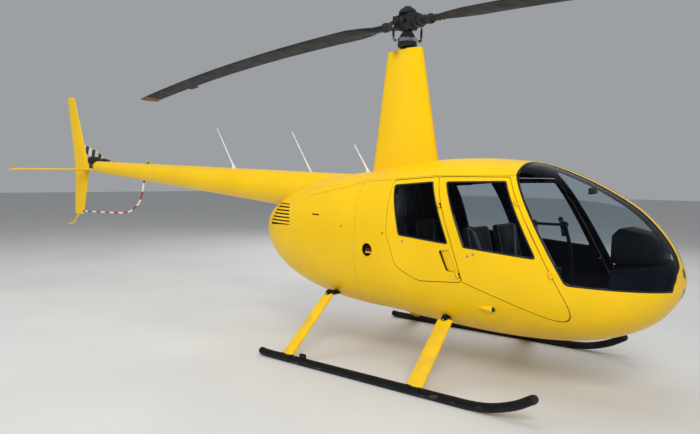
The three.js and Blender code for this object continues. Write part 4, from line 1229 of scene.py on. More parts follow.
class HELICOPTER_OT_shell_details(bpy.types.Operator):
    """Louvres, fuel port, fasteners, side lights, landing lights and windshield strip"""

    bl_idname = "helicopter.shell_details"
    bl_label = "Shell Details"

    def execute(self, context):
        skin = sizes().skin / MM
        slats = []
        low, high = 1168.0, 1382.0
        count = sizes().slats
        for i in range(count):
            z = low + (high - low) * (i + 0.5) / count
            share = (z - low) / (high - low)
            front, back = -1112 - 76 * share, -1532 + 92 * share
            path = [skin_point(x, z, -1, -7) for x in np.linspace(front + 6, back - 6, 22)]
            slats.append(sweep(path, [(5, -10), (7, -9), (-7, 10), (-9, 9)]))
        piece("cowl_louvres", both(joined(*slats)), "yellow_paint")
        # A black sheet behind the louvre slats: painted shade for the dark engine bay seen between them
        louvre_shade_sheet = wall(30, 34, keep(room(LOUVRE, 14, inner=60)))
        piece("louvre_backing", louvre_shade_sheet, "black_trim")
        # A black sheet just behind the vent slot: painted shade for the slot's dark depth
        vent_shade_sheet = wall(skin + 0.5, skin + 3, keep(room(VENT_SLOT, 12)))
        piece("vent_backing", vent_shade_sheet, "black_trim")
        x, z, radius = PORT
        at = Vector(skin_point(x, z))
        out = Vector(skin_normal(at)[0])
        inward = at - out * 46
        piece("port_cups", both(carve_cup(inward, out, radius)), "black_trim")
        for name, rise, finish in (
                ("upper", 27, "black_trim"), ("middle", 0, "red_lens"), ("lower", -27, "yellow_paint")):
            middle = inward + out * 12 + Vector((0, 0, rise))
            bar = rod(middle - Vector((42, 0, 0)), middle + Vector((42, 0, 0)), 9)
            piece(f"port_{name}_bars", both(bar), finish)
        piece("port_rims", both(ring_of(at, out, radius + 7, radius - 1, 2.0)), "yellow_paint")

        hoops = [skin_hoop(COWL_SEAM + s * 14, -60, 240, 120) for s in (-1, 1)]
        seams = []
        for side in (-1, 1):
            for lift in (-13, 13):
                seams.append(skin_line([(x, z + lift) for x, z in ROOF_SEAM[1:6]], side))
        repeat("shell_fasteners", dome(4.2, 1.2), [*hoops, *seams], 78, "steel")
        rows = [skin_line([(1180, z), (-120, z + 22)], side) for side in (-1, 1) for z in (470, 640)]
        rows += [skin_line([(-200, 620), (-1050, 700)], side) for side in (-1, 1)]
        rows += [skin_line([(-200, 1330), (-1060, 1250)], side) for side in (-1, 1)]
        pitch = sizes().rivet_pitch / MM
        radius = sizes().rivet / MM
        repeat("shell_rivets", dome(radius, 0.5 * radius), rows, pitch, "yellow_paint")

        strip = wall(0, skin, keep(block(
            ROOF_FRONT + 0.6, 2600, 0.6 - STRIP_HALF, STRIP_HALF - 0.6, STRIP_FOOT_Z + TOUCH, OVERHEAD)))
        piece("windshield_strip_skin", strip, "yellow_paint", stands_for=["windshield_strip"], skin=True)
        bowl = [(36, 0), (36.5, 1), (36.5, 86), (33, 86), (31, 72), (24, 52), (12, 38), (0, 34)]
        bowls = [turned(bowl, (2360, 0, z), (2448, 0, z), 48) for z in LAMP_HEIGHTS]
        plate = block(2350, 2360, -37, 37, LAMP_HEIGHTS[1] - 37, LAMP_HEIGHTS[0] + 37)
        lamps = carve(joined(*bowls, plate), keep(hull(2)))
        piece("landing_lamps", lamps, "casting", stands_for=["landing_lights"])
        wide, narrow = [
            joined(*[bore((2380, 0, z), (2600, 0, z), radius, 48) for z in LAMP_HEIGHTS])
            for radius in (36.6, 33)]
        piece("landing_lenses", wall(1.5, 4.5, keep(narrow)), "lamp_glass")
        piece("landing_rims", wall(0.2, 7, keep(wide), minus(narrow)), "rubber")
        piece("landing_bulbs", joined(*[ball((2404, 0, z), 7) for z in LAMP_HEIGHTS]), "white_paint")
        spots = []
        for x, z in ((-324, 1206), (187, 1175)):
            at = Vector(skin_point(x, z))
            spots.append(turned([(8, -2), (8, 1.4), (0, 2.4)], at, at + Vector(skin_normal(at)[0]), 20))
        piece("side_fasteners", both(joined(*spots)), "black_trim")
        side_lights()
        return {"FINISHED"}


def ring_of(at, out, outer, inner, high):
    """A flat ring standing on a plane."""
    disc = turned([(outer, -1), (outer, high - 0.6), (outer - 0.6, high), (0, high)], at, at + out, 64)
    return shape_of(carve(disc, minus(turned([(inner, -5), (inner, high + 5)], at, at + out, 64))))


def carve_cup(inward, out, radius):
    """A round cup, open outwards, behind a hole in the skin."""
    body = turned([(radius + 3, 0), (radius + 3, 40)], inward, inward + out, 48)
    return shape_of(carve(body, minus(turned([(radius, 3), (radius, 60)], inward, inward + out, 48))))


class HELICOPTER_OT_windshields(bpy.types.Operator):
    """Two curved windshields in rubber"""

    bl_idname = "helicopter.windshields"
    bl_label = "Windshields"

    def execute(self, context):
        seal = sizes().seal / MM
        pane = wall(3.5, 8.5, keep(glass_room(-seal - TOUCH)))
        rubber_ring = wall(0.8, 11, keep(glass_room(-TOUCH)), minus(glass_room(-seal)))
        for side, turn in SIDES:
            piece(f"windshield_pane_{side}", turn(pane), "clear_glazing", stands_for=[f"windshield_{side}"])
            piece(f"windshield_seal_{side}", turn(rubber_ring), "rubber")
        return {"FINISHED"}


DOORS = {"front": (FRONT_DOOR, FRONT_WINDOW), "rear": (REAR_DOOR, REAR_WINDOW)}
KNUCKLE = 9.0
KNUCKLE_LONG = 24.0


def right_room(corners, gap=0.0, inner=300.0):
    return side_prism(rounded(grown(corners, gap)), -OUTSIDE, -inner)


def knuckles(row):
    """The frame's and the door's knuckles, and the pins, of one right door."""
    low, high = [Vector(p) for p in HINGES[row]]
    axis = (high - low).normalized()
    frame_side, door_side, pins, notches = [], [], [], []
    for at in (low, high):
        middle = at + axis * KNUCKLE_LONG / 2
        foot = at - axis * KNUCKLE_LONG
        under = at - axis * KNUCKLE_LONG / 2
        door_side.append(rod(at, at + axis * KNUCKLE_LONG, KNUCKLE, sides=20))
        door_side.append(rod(middle, middle + Vector(DOOR_ARM[row]), 7, sides=16))
        frame_side.append(rod(foot, at - axis, KNUCKLE, sides=20))
        frame_side.append(rod(under, under + Vector(FRAME_ARM[row]), 7, sides=16))
        pins.append(rod(foot - axis * 2.5, foot + axis * 1, 5, sides=16))
        pins.append(rod(at + axis * (KNUCKLE_LONG - 1), at + axis * (KNUCKLE_LONG + 2.5), 5, sides=16))
        if row == "rear":
            notches.append(block(at.x - 13, at.x + 40, -OUTSIDE, -300, under.z - 15, under.z + 26))
    return joined(*frame_side), joined(*door_side), joined(*pins), notches


def door_fittings(row):
    """A door's lock, latch and pull, and the rear door's handle dish."""
    if row == "front":
        lock, latch = (1030, 1042), (1079, 1061)
    else:
        lock, latch = (404, 1117), None
    outer = []
    for x, z in [lock] + ([latch] if latch else []):
        at = Vector(skin_point(x, z))
        out = Vector(skin_normal(at)[0])
        outer.append(turned([(11, -2), (11, 1.2), (9, 2.2), (0, 2.2)], at, at + out, 32))
        outer.append(turned([(4, 1), (4, 4), (0, 4)], at, at + out, 16))
    inside = []
    centre = (1240, 800) if row == "front" else (560, 1010)
    at = Vector(skin_point(*centre, lift=-26))
    inside.append(rod(at + Vector((-90, 12, 40)), at + Vector((90, 12, 40)), 9))
    for x in (-86, 86):
        inside.append(rod(at + Vector((x, -4, 40)), at + Vector((x, 14, 40)), 7))
    result = {"locks": (mesh_of(joined(*outer)), "steel"), "pull": (mesh_of(joined(*inside)), "black_trim")}
    if row == "rear":
        result["handle_dish"] = (handle_dish(), "yellow_paint")
    return result


class HELICOPTER_OT_doors(bpy.types.Operator):
    """Four doors with their panes, seals, linings, hinges, locks and handles"""

    bl_idname = "helicopter.doors"
    bl_label = "Doors"

    def execute(self, context):
        skin = sizes().skin / MM
        seal = sizes().seal / MM
        for row, (outline, window) in DOORS.items():
            frame_side, door_side, pins, notches = knuckles(row)
            cuts = [minus(notch) for notch in notches]
            extra = [minus(right_room(HANDLE))] if row == "rear" else []
            relief = []
            if row == "front":
                low_front = keep(block(1440, 1900, -OUTSIDE, -300, 500, 800))
                relief.append(minus(carve(hull(5), low_front, minus(right_room(FRONT_DOOR, -16)))))
            ring = [keep(right_room(outline, -1)), minus(right_room(outline, -16))]
            parts = {
                "skin": (wall(0, skin, keep(right_room(outline)),
                              minus(right_room(window)), *cuts, *extra), "yellow_paint"),
                "edge": (wall(skin + 0.3, 12, *ring, *cuts, *relief), "yellow_paint"),
                "inner_edge": (wall(12.2, 26, *ring, *cuts, *relief), "lining"),
                "lining": (wall(skin + 0.6, 26, keep(right_room(outline, -16.2)),
                                minus(right_room(window, 1)), *cuts, *extra), "lining"),
                "pane": (wall(3, 8, keep(right_room(window, -seal - TOUCH))), "clear_glazing"),
                "seal": (wall(0.8, 12, keep(right_room(window, -TOUCH)),
                              minus(right_room(window, -seal))), "rubber"),
                "knuckles": (mesh_of(door_side), "yellow_paint"),
                "pins": (mesh_of(pins), "steel"),
                **door_fittings(row),
            }
            for side, turn in SIDES:
                body = f"{side}_{row}_door"
                for name, (mesh, finish) in parts.items():
                    stands_for = {
                        "skin": [f"{row}_door_{side}"], "pane": [f"{row}_door_window_{side}"],
                    }.get(name, [])
                    piece(f"{body}_{name}", turn(mesh), finish, body, stands_for, skin=name == "skin")
                piece(f"{body}_frame_knuckles", turn(mesh_of(frame_side)), "yellow_paint")
        return {"FINISHED"}


def handle_dish():
    """The dished recess that a hand pulls the door by: deep at its aft edge and flush at its front."""
    rings = []
    for z in np.linspace(1085, 896, 25):
        back, front = 771 + (1076 - z) * 0.44, 868 + (1083 - z) * 0.443
        depths = [(t, 21 * (1 - t) ** 0.7 + 0.9) for t in np.linspace(0, 1, 13)]
        face = [skin_point(back + (front - back) * t, z, -1, -depth) for t, depth in depths]
        rear = [skin_point(back + (front - back) * t, z, -1, -depth - 2.5) for t, depth in depths[::-1]]
        rings.append(face + rear)
    return mesh_of(loft(rings))


class HELICOPTER_OT_mast(bpy.types.Operator):
    """Mast fairing and the fixed half of the swashplate"""

    bl_idname = "helicopter.mast"
    bl_label = "Mast Fairing"

    def execute(self, context):
        skin = sizes().skin / MM
        slope = side_prism([(-40, 2886), (-40, 2900), (-300, 2900), (-300, 2865)], -200, 200)
        tower = carve(
            fairing(), minus(hull(skin)), minus(slope),
            minus(bore((0, 0, 2530), (0, 0, 3000), 53, 48)))
        piece("mast_fairing_skin", tower, "fairing_paint", stands_for=["mast_fairing"])
        tube_form = turned([(52, 0), (52, 372)], (0, 0, 2532), (0, 0, 2905), 40)
        plate = turned([
            (60, 0), (88, 6), (92, 10), (92, 40), (88, 44), (52, 44),
        ], (0, 0, 2900), (0, 0, 2944), 64)
        hole = bore((0, 0, 2500), (0, 0, 3000), 36, 40)
        base = carve(tube_form, plus(plate), minus(hole))
        piece("swashplate_base_casting", base, "casting", stands_for=["swashplate_base"])
        boot = [(62, 0), (72, 6), (60, 12), (72, 18), (60, 24)]
        piece("mast_boot", carve(turned(boot, (0, 0, 2880), (0, 0, 2904), 48), minus(bore(
            (0, 0, 2800), (0, 0, 3000), 53, 48))), "rubber")
        rivets = []
        for z in (1985, 2420):
            ring = np.array(fairing_ring(z) + [fairing_ring(z)[0]])
            along = np.gradient(ring, axis=0)
            out = np.column_stack([along[:, 1], -along[:, 0], np.zeros(len(ring))])
            rivets.append((ring, out / np.linalg.norm(out, axis=1)[:, None]))
        repeat("fairing_rivets", dome(2.6, 1.2), rivets, 30, "yellow_paint")
        return {"FINISHED"}


ROTOR = Matrix.Rotation(ROTOR_TURN, 4, "Z")
MAIN_BLADE = [
    (299, 96, 74), (420, 110, 62), (520, 190, 46), (700, 254, 34), (1600, 254, 32), (2600, 254, 32),
    (3600, 254, 32), (4600, 254, 30), (4890, 254, 27), (4990, 248, 24), (5030, 194, 12),
]
BLADES = {"main_blade_1": (1, -TEETER, -3.0), "main_blade_2": (-1, TEETER, 11.5)}  # way, slope, root pitch


def blade_z(r, slope):
    return HUB_Z - 20 + slope * r - DROOP * r * r


def blade_point(blade, r, a, b, back=0.0):
    """A point of a blade's section: a towards its leading edge, b up and back towards the hub."""
    along, slope, degrees = BLADES[blade]
    pitch = math.radians(degrees) + TWIST * r / ROTOR_RADIUS
    c, s = math.cos(pitch), math.sin(pitch)
    return along * (r - back), along * (a * c - b * s), blade_z(r, slope) + a * s + b * c


def rotor_piece(name, shape, finish, stands_for=(), **settings):
    return piece(name, moved(shape, ROTOR), finish, "main_rotor", stands_for, **settings)


def build_hub():
    core = side_prism(rounded([
        (-104, HUB_Z - 40, 24), (-70, HUB_Z - 90, 16), (70, HUB_Z - 90, 16), (104, HUB_Z - 40, 24),
        (96, HUB_Z + 44, 26), (60, HUB_Z + 70, 20), (-60, HUB_Z + 70, 20), (-96, HUB_Z + 44, 26),
    ]), -55, 55)
    shaft = rod((0, 0, 2560), (0, 0, HUB_Z), 30, sides=40)
    cap = turned([
        (86, 0), (84, 18), (70, 38), (46, 54), (34, 60), (34, 65),
    ], (0, 0, HUB_Z + 69), (0, 0, 3284), 40)
    teeter = rod((0, -95, HUB_Z), (0, 95, HUB_Z), 26, sides=32, edge=4)
    rotor_piece("hub_core", joined(core, shaft), "casting", ["rotor_hub"], bevel=0.004)
    rotor_piece("hub_cap", joined(cap, teeter), "casting")
    grips, bolts, horns = [], [], []
    for along, slope in ((1, -TEETER), (-1, TEETER)):
        yoke = block(along * 100 - 36, along * 100 + 36, -62, 62, HUB_Z - 65, HUB_Z + 55)
        a = Vector((along * 128, 0, blade_z(128, slope) + 4))
        b = Vector((along * 298, 0, blade_z(298, slope)))
        grip = turned([
            (50, 0), (52, 6), (52, 44), (44, 56), (42, 120), (47, 132), (47, 156), (44, 169),
        ], a, b, 40)
        grips += [yoke, grip]
        for y in (-68, 68):
            sign = math.copysign(1, y)
            start = Vector((along * 100, y - sign * 8, HUB_Z - 5))
            beyond = start + Vector((0, sign, 0))
            bolts.append(turned([(20, 0), (20, 14), (17, 18), (0, 18)], start, beyond, 6))
            bolts.append(stud(27, 9, start, beyond, 28))
        for r in (205, 270):
            z = blade_z(r, slope)
            bolts.append(stud(9, 8, (along * r, 0, z + 41), (along * r, 0, z + 60)))
        horns.append(sweep([
            (along * 190, along * 40, blade_z(190, slope) - 10), (along * 140, along * 92, HUB_Z - 26),
            (along * 84, along * 112, HUB_Z - 40)], circle(14, 16), 10))
    rotor_piece("hub_grips", joined(*grips), "casting", bevel=0.003)
    rotor_piece("hub_bolts", joined(*bolts), "casting")
    rotor_piece("pitch_horns", joined(*horns), "casting")
    ring = carve(
        turned([(84, 0), (95, 5), (95, 36), (88, 43), (50, 43)], (0, 0, 2944.8), (0, 0, 2988), 64),
        minus(bore((0, 0, 2900), (0, 0, 3010), 36, 40)))
    ring.transform(Matrix.Translation(MAST) @ ROTOR @ Matrix.Translation(-MAST))
    links, ends = [], []
    for along in (1, -1):
        low = Vector((along * 80, along * 108, 2972))
        high = Vector((along * 84, along * 112, HUB_Z - 52))
        links.append(rod(low, high, 8, sides=20))
        links.append(rod(low.lerp(high, 0.25), low.lerp(high, 0.75), 11, sides=6))
        links.append(rod((along * 70, along * 84, 2966), low + Vector((0, 0, -4)), 12, sides=16))
        ends += [ball(low, 15), ball(high, 15)]
    piece("swashplate_ring_casting", ring, "steel", "main_rotor", ["swashplate_ring"])
    rotor_piece("pitch_links", joined(*links), "casting")
    rotor_piece("pitch_link_ends", joined(*ends), "steel")
    boot = [(76, 0), (78, 10), (66, 20), (70, 28), (56, 38), (60, 46), (44, 58), (42, 70), (30.5, 72)]
    hollow = carve(
        turned(boot, (0, 0, 2989), (0, 0, 3061), 48), minus(bore((0, 0, 2980), (0, 0, 3080), 30.3, 40)))
    hollow.transform(Matrix.Translation(MAST) @ ROTOR @ Matrix.Translation(-MAST))
    piece("rotor_boot", hollow, "rubber", "main_rotor")


def build_blade(name):
    """A blade with its tip cut back, so that the leading edge reaches further out."""
    table = np.array(MAIN_BLADE, float)
    radii = np.unique(np.concatenate([table[:, 0], np.arange(800, 5000, 150), np.linspace(4890, 5030, 8)]))
    rings, under = [], []
    for r in radii:
        chord = np.interp(r, table[:, 0], table[:, 1])
        thick = np.interp(r, table[:, 0], table[:, 2])
        ring = []
        for a, b in airfoil(chord, thick, 56):
            swept = (0.5 - a / BLADE_CHORD) * 130 * max(0, (r - 4890) / 140)
            ring.append(blade_point(name, r, a - (BLADE_CHORD - chord) * 0.1, b, swept))
            under.append(1.0 if b < -0.5 else 0.0)
        rings.append(ring)
    rotor_piece(f"{name}_skin", loft(rings), "blade_paint", [name], sharp=50, values={"under": under})
    y = -BLADE_CHORD / 2
    tab = []
    for r in (3850, 4050):
        tab_corners = ((8, 1.4), (8, -1.4), (-46, -3.4), (-46, -1.6))
        tab.append([blade_point(name, r, y + a, b) for a, b in tab_corners])
    rotor_piece(f"{name}_tab", loft(tab), "blade_paint")
    bolts = []
    for r in (330, 380, 430):
        for s in (1, -1):
            start, end = blade_point(name, r, 0, s * 30), blade_point(name, r, 0, s * 38)
            bolts.append(stud(8, 8, start, end))
    rotor_piece(f"{name}_bolts", joined(*bolts), "steel")


class HELICOPTER_OT_rotor(bpy.types.Operator):
    """Main rotor: hub, grips, links, swashplate ring and two blades"""

    bl_idname = "helicopter.rotor"
    bl_label = "Main Rotor"

    def execute(self, context):
        build_hub()
        for name in BLADES:
            build_blade(name)
        return {"FINISHED"}


# Tail surfaces: height or y, front, back, thickness
FIN = [(1056, -6064, -6333, 26), (1752, -5880, -6298, 52), (2898, -6305, -6515, 22)]
STABILIZER = [
    (-1200, -5690, -5880, 24), (-1185, -5670, -5896, 42), (-180, -5648, -6000, 46), (-6, -5540, -6010, 46)]


def row_at(table, place):
    """A tail surface's front, back and thickness at a place along it."""
    rows = np.array(table, float)
    return [np.interp(place, rows[:, 0], rows[:, k]) for k in (1, 2, 3)]


def gearbox(grow):
    """The tail gearbox's housing without its output, grown by a gap."""
    return carve(
        rod((-5640, 0, 1797), (-5850, 40, 1812), 48 + grow, sides=48),
        plus(rod((-5875, 60, 1775 - grow), (-5893, 60, 1905 + grow), 54 + grow, sides=48)),
        plus(rod((-5893, 10 - grow, 1895), (-5893, 150 + grow, 1895), 58 + grow, sides=48)))


def build_boom():
    c = TAILCONE
    a, b = Vector((c["x0"], 0, c["z0"])), Vector((c["x1"], 0, c["z1"]))
    ahead = (b - a).normalized()
    long = (b - a).length
    seams = np.linspace(950, long - 40, 11)
    profile = [(c["r0"], 0)]
    radius_at = lambda d: c["r0"] + (c["r1"] - c["r0"]) * d / long
    for d in seams:
        profile += [(radius_at(d), d - 0.5), (radius_at(d) - 1.0, d + 0.5)]
    end = long - 64
    profile = [p for p in profile if p[1] < end - 4]
    for t in np.linspace(0, math.pi / 2, 7):
        profile.append((radius_at(end) - 1 - 40 * (1 - math.cos(t)), end + 64 * math.sin(t)))
    piece("tailcone_skin", turned(profile, a, b, 96), "yellow_paint", stands_for=["tailcone"], sharp=25)
    side = Vector((0, 1, 0))
    up = ahead.cross(side)
    up = up if up.z > 0 else -up
    hoops = []
    turns = np.linspace(0, 2 * math.pi, 61)
    for d in [d + s for d in seams[:-1] for s in (-9, 9)]:
        hoop_radius = radius_at(d) - 0.6
        points = [a + ahead * d + (side * math.cos(t) + up * math.sin(t)) * hoop_radius for t in turns]
        facing = [side * math.cos(t) + up * math.sin(t) for t in turns]
        hoops.append(([tuple(p) for p in points], [tuple(f) for f in facing]))
    for t in (-math.pi / 2,):
        points = [a + ahead * d + up * -radius_at(d) for d in np.linspace(990, long - 80, 60)]
        hoops.append(([tuple(p) for p in points], [tuple(-up)] * len(points)))
    radius = sizes().rivet / MM
    repeat("tailcone_rivets", dome(radius, 0.45 * radius), hoops, sizes().rivet_pitch / MM, "yellow_paint")
    box = carve(gearbox(0), minus(cone(TOUCH)), plus(turned(
        [(34, 0), (26, 16), (24, 24), (24, 114)], (-5893, 140, 1895), (-5893, 254, 1895), 40)))
    piece("tail_gearbox_casting", box, "casting", stands_for=["tail_gearbox"])
    bolts = []
    for i in range(8):
        t = i * math.pi / 4
        spot = Vector((-5893 + 50 * math.cos(t), 148, 1895 + 50 * math.sin(t)))
        bolts.append(stud(5, 6, spot, spot + Vector((0, 1, 0))))
    piece("tail_gearbox_bolts", joined(*bolts), "steel")


def stabilizer_height(y):
    return 1750 + y * 0.013


def build_fins():
    levels = np.concatenate([np.linspace(1056, 1752, 12), np.linspace(1800, 2850, 16), 2850 + 48 * np.sin(
        np.linspace(0.1, math.pi / 2, 8))])
    rings = []
    for z in levels:
        front, back, thick = row_at(FIN, z)
        top = max(0.0, (z - 2850) / 48)
        shrink = 1 - math.sqrt(max(0.0, 1 - top * top))
        front -= shrink * 62
        back += shrink * 28
        thick *= 1 - 0.75 * shrink
        rings.append([((front + back) / 2 + p, q, z) for p, q in airfoil(front - back, thick, 56)])
    fin = biggest(carve(loft(rings), minus(gearbox(0.8))))
    piece("tail_fin_skin", fin, "yellow_paint", stands_for=["tail_fin"], sharp=50)
    rings = []
    rounded_tip = -1185 - 15 * np.sin(np.linspace(0.2, math.pi / 2, 5))
    for y in np.concatenate([np.linspace(-6, -1185, 22), rounded_tip]):
        front, back, thick = row_at(STABILIZER, y)
        section = airfoil(front - back, thick, 56)
        rings.append([((front + back) / 2 + p, y, stabilizer_height(y) + q) for p, q in section])
    tailplane = biggest(carve(
        loft(rings), minus(cone(TOUCH)), minus(gearbox(0.8)), minus(fin)))
    piece("stabilizer_skin", tailplane, "yellow_paint", stands_for=["stabilizer"], sharp=50)
    lines = []
    for x in (-5720, -5860):
        points = []
        for y in np.linspace(-200, -1170, 40):
            front, back, thick = row_at(STABILIZER, y)
            along = (x - (front + back) / 2) / ((front - back) / 2)
            high = thick / 2 * math.sqrt(max(0, 1 - along * along)) * (0.75 + 0.25 * along)
            points.append((x, y, stabilizer_height(y) + high))
        facing = [(0, 0, 1)] * len(points)
        lines.append((points, facing))
    repeat("stabilizer_rivets", dome(2.4, 1.0), lines, 36, "yellow_paint")


def build_guard():
    path = [(-6050, 0, 1100), (-5500, 0, 1104), (-4893, 0, 1122), (-4640, 0, 1200), (-4480, 0, 1340),
            (-4380, 0, 1640)]
    line = spread(path, 120)
    fin_end = -6052
    line = line[line[:, 0] > fin_end]
    bar = sweep(line, circle(13, 24))
    steps = np.linalg.norm(np.diff(line, axis=0), axis=1)
    along = np.repeat(np.concatenate([[0], np.cumsum(steps)]), 24) * MM
    piece("tail_guard_bar", bar, "guard_paint", stands_for=["tail_guard"], values={"along": along})
    piece("guard_clamps", joined(
        rod((-6058, 0, 1100), (-6020, 0, 1100), 17), rod((-4392, 0, 1600), (-4383, 0, 1630), 17)), "rubber")
    skid = sweep([(-6190, 0, 1080), (-6260, 0, 1010), (-6400, 0, 900), (-6535, 0, 880)], circle(12, 20), 40)
    piece("tail_skid_bar", skid, "yellow_paint", stands_for=["tail_skid"])


def build_aerials():
    for name, base, tip in (
        ("aerial_roof", (-425, 0, 1690), (-630, 0, 1999)),
        ("aerial_front", (-1190, 0, 1660), (-1517, 0, 2161)),
        ("aerial_rear", (-2470, 0, 1745), (-2808, 0, 2261)),
    ):
        a, b = Vector(base), Vector(tip)
        long = (b - a).length
        whip = turned([(16, 0), (15, 40), (10, 90), (8, 200), (4.2, long - 4), (0, long)], a, b, 28)
        low = Vector((base[0] - 20, 0, base[2]))
        foot = turned([(30, -20), (30, 6), (26, 14), (14, 50)], low, low + Vector((-8, 0, 50)), 32)
        piece(f"{name}_whip", joined(whip, foot), "white_paint", stands_for=[name])
    base = turned([(46, 0), (46, 34), (40, 40), (36, 42)], (-4287, 0, 1768), (-4287, 0, 1810), 40)
    lens_dome = [(36, 0), (36, 30), (34, 50), (28, 68), (16, 80), (0, 84)]
    lens = turned(lens_dome, (-4287, 0, 1811), (-4287, 0, 1895), 40)
    core = turned([(12, 0), (12, 50), (0, 56)], (-4287, 0, 1812), (-4287, 0, 1868), 20)
    piece("beacon_foot", base, "yellow_paint")
    piece("beacon_lens", lens, "lamp_glass", stands_for=["beacon"])
    piece("beacon_core", core, "white_paint")


class HELICOPTER_OT_tail(bpy.types.Operator):
    """Tail cone, gearbox, fins, stabilizer, guard, aerials and beacon"""

    bl_idname = "helicopter.tail"
    bl_label = "Tail"

    def execute(self, context):
        build_boom()
        build_fins()
        build_guard()
        build_aerials()
        return {"FINISHED"}


def biggest(mesh):
    """The largest of a mesh's separate parts."""
    bm = bmesh.new()
    bm.from_mesh(mesh)
    seen, groups = set(), []
    for start in bm.verts:
        if start.index in seen:
            continue
        group, queue = [], [start]
        seen.add(start.index)
        while queue:
            v = queue.pop()
            group.append(v)
            for edge in v.link_edges:
                other = edge.other_vert(v)
                if other.index not in seen:
                    seen.add(other.index)
                    queue.append(other)
        groups.append(group)
    groups.sort(key=len)
    bmesh.ops.delete(bm, geom=[v for group in groups[:-1] for v in group], context="VERTS")
    bm.to_mesh(mesh)
    bm.free()
    return mesh


class HELICOPTER_OT_tail_rotor(bpy.types.Operator):
    """Tail rotor: hub, pitch links and two striped blades"""

    bl_idname = "helicopter.tail_rotor"
    bl_label = "Tail Rotor"

    def execute(self, context):
        place = Matrix.Translation(Vector(TAIL_AXIS)) @ Matrix.Rotation(TAIL_TURN, 4, "Y")
        table = np.array([(100, 60, 30), (190, 90, 18), (280, 128, 15), (716, 128, 13), (736, 110, 8)], float)
        blades, along_values = [], []
        for along in (1, -1):
            rings = []
            for r in np.unique(np.concatenate([table[:, 0], np.linspace(100, 736, 34)])):
                chord, thick = np.interp(r, table[:, 0], table[:, 1]), np.interp(r, table[:, 0], table[:, 2])
                rings.append([(along * r, 300 + b, -along * a) for a, b in airfoil(chord, thick, 40)])
                along_values += [r * MM - 0.053] * 40
            blades.append(loft(rings))
        hub = joined(
            turned([(24, 0), (30, 6), (30, 60), (22, 70), (22, 79)], (0, 255.4, 0), (0, 335, 0), 36),
            rod((-110, 300, 0), (110, 300, 0), 19, sides=28),
            stud(34, 12, (0, 292, 0), (0, 310, 0)))
        piece("tail_rotor_blade_skins", moved(joined(*blades), place), "tail_blade_paint", "tail_rotor",
              ["tail_rotor_blades"], sharp=50, values={"along": along_values})
        piece("tail_rotor_hub", moved(hub, place), "casting", "tail_rotor", bevel=0.0015)
        links = []
        for along in (1, -1):
            links.append(rod((along * 30, 266, along * 34), (along * 120, 292, along * 42), 5, sides=14))
            links.append(ball((along * 120, 292, along * 42), 9))
            links.append(rod((along * 120, 296, along * 42), (along * 130, 300, along * 14), 7, sides=14))
        links.append(turned([(40, 0), (40, 8), (30, 10)], (0, 258, 0), (0, 270, 0), 32))
        piece("tail_rotor_links", moved(joined(*links), place), "steel", "tail_rotor")
        return {"FINISHED"}


class HELICOPTER_OT_gear(bpy.types.Operator):
    """Skids, faired struts, ball joints and cross tubes"""

    bl_idname = "helicopter.gear"
    bl_label = "Skid Gear"

    def execute(self, context):
        path = [(-842, 42), *[(x, SKID_RADIUS) for x in (-760, -400, 0, 400, 800, 1150)],
                (1330, SKID_RADIUS + 3), (1480, 58), (1640, 112), (1772, 186)]
        line = spread([(x, -SKID_Y, z) for x, z in path], 140)
        bar = sweep(line, circle(SKID_RADIUS, 36))
        bar[0][:, 2] = np.maximum(bar[0][:, 2], 0)
        shoe = block(-700, 1300, -SKID_Y - 16, -SKID_Y + 16, 0, 14)
        lug = side_prism(rounded([(-365, 30, 2), (-295, 30, 2), (-295, 104, 14), (-365, 104, 14)]),
                         -SKID_Y - 8, -SKID_Y + 8)
        skid = carve(bar, plus(shoe), plus(lug), minus(bore(
            (-330, -1200, 84), (-330, -1000, 84), 9, 24)))
        plugs = joined(*[ball(line[i], SKID_RADIUS - 1.5, 24) for i in (0, -1)])
        for side, turn in SIDES:
            piece(f"skid_bar_{side}", turn(skid), "black_paint", stands_for=[f"skid_{side}"])
            piece(f"skid_plugs_{side}", turn(mesh_of(plugs)), "rubber")
        skid_line = [(x, -SKID_Y, SKID_RADIUS) for x in (-760, -300, 300, 1150)]
        saddle_room = tube(skid_line, SKID_RADIUS + 0.8, 40, 36)
        for row, s in STRUTS.items():
            head = (s["top_x"], -STRUT_TOP_Y, s["top_z"])
            fairing_form = biggest(carve(
                strut(row), minus(ball(head, ELBOW_RADIUS + 0.8, 28)), minus(saddle_room)))
            for side, turn in SIDES:
                piece(f"{row}_strut_fairing_{side}", turn(fairing_form), "yellow_paint",
                      stands_for=[f"{row}_strut_{side}"], sharp=50)
            foot, ahead = [(s["x"] + step, -SKID_Y, SKID_RADIUS) for step in (0, 1)]
            shell, room_for_skid = [
                turned([(SKID_RADIUS + grow, -long), (SKID_RADIUS + grow, long)], foot, ahead, 36)
                for grow, long in ((4, 70), (0.5, 80))]
            bands = carve(
                shell, minus(room_for_skid),
                keep(block(s["x"] - 66, s["x"] + 66, -SKID_Y - 60, -SKID_Y + 60, SKID_RADIUS - 6, 140)))
            for side, turn in SIDES:
                piece(f"{row}_saddle_{side}", turn(bands), "black_paint")
            tube_form = rod(head, (s["top_x"], STRUT_TOP_Y, s["top_z"]), 26, sides=32)
            joint = both(ball(head, ELBOW_RADIUS, 28))
            piece(f"{row}_cross_bar", joined(tube_form, joint), "black_paint",
                  stands_for=[f"{row}_cross_tube"])
            bolt_at = Vector(head) + Vector((0, -ELBOW_RADIUS + 2, 4))
            bolts = stud(9, 7, bolt_at, bolt_at + Vector((0, -1, 0)))
            piece(f"{row}_strut_bolts", both(bolts), "steel")
        return {"FINISHED"}


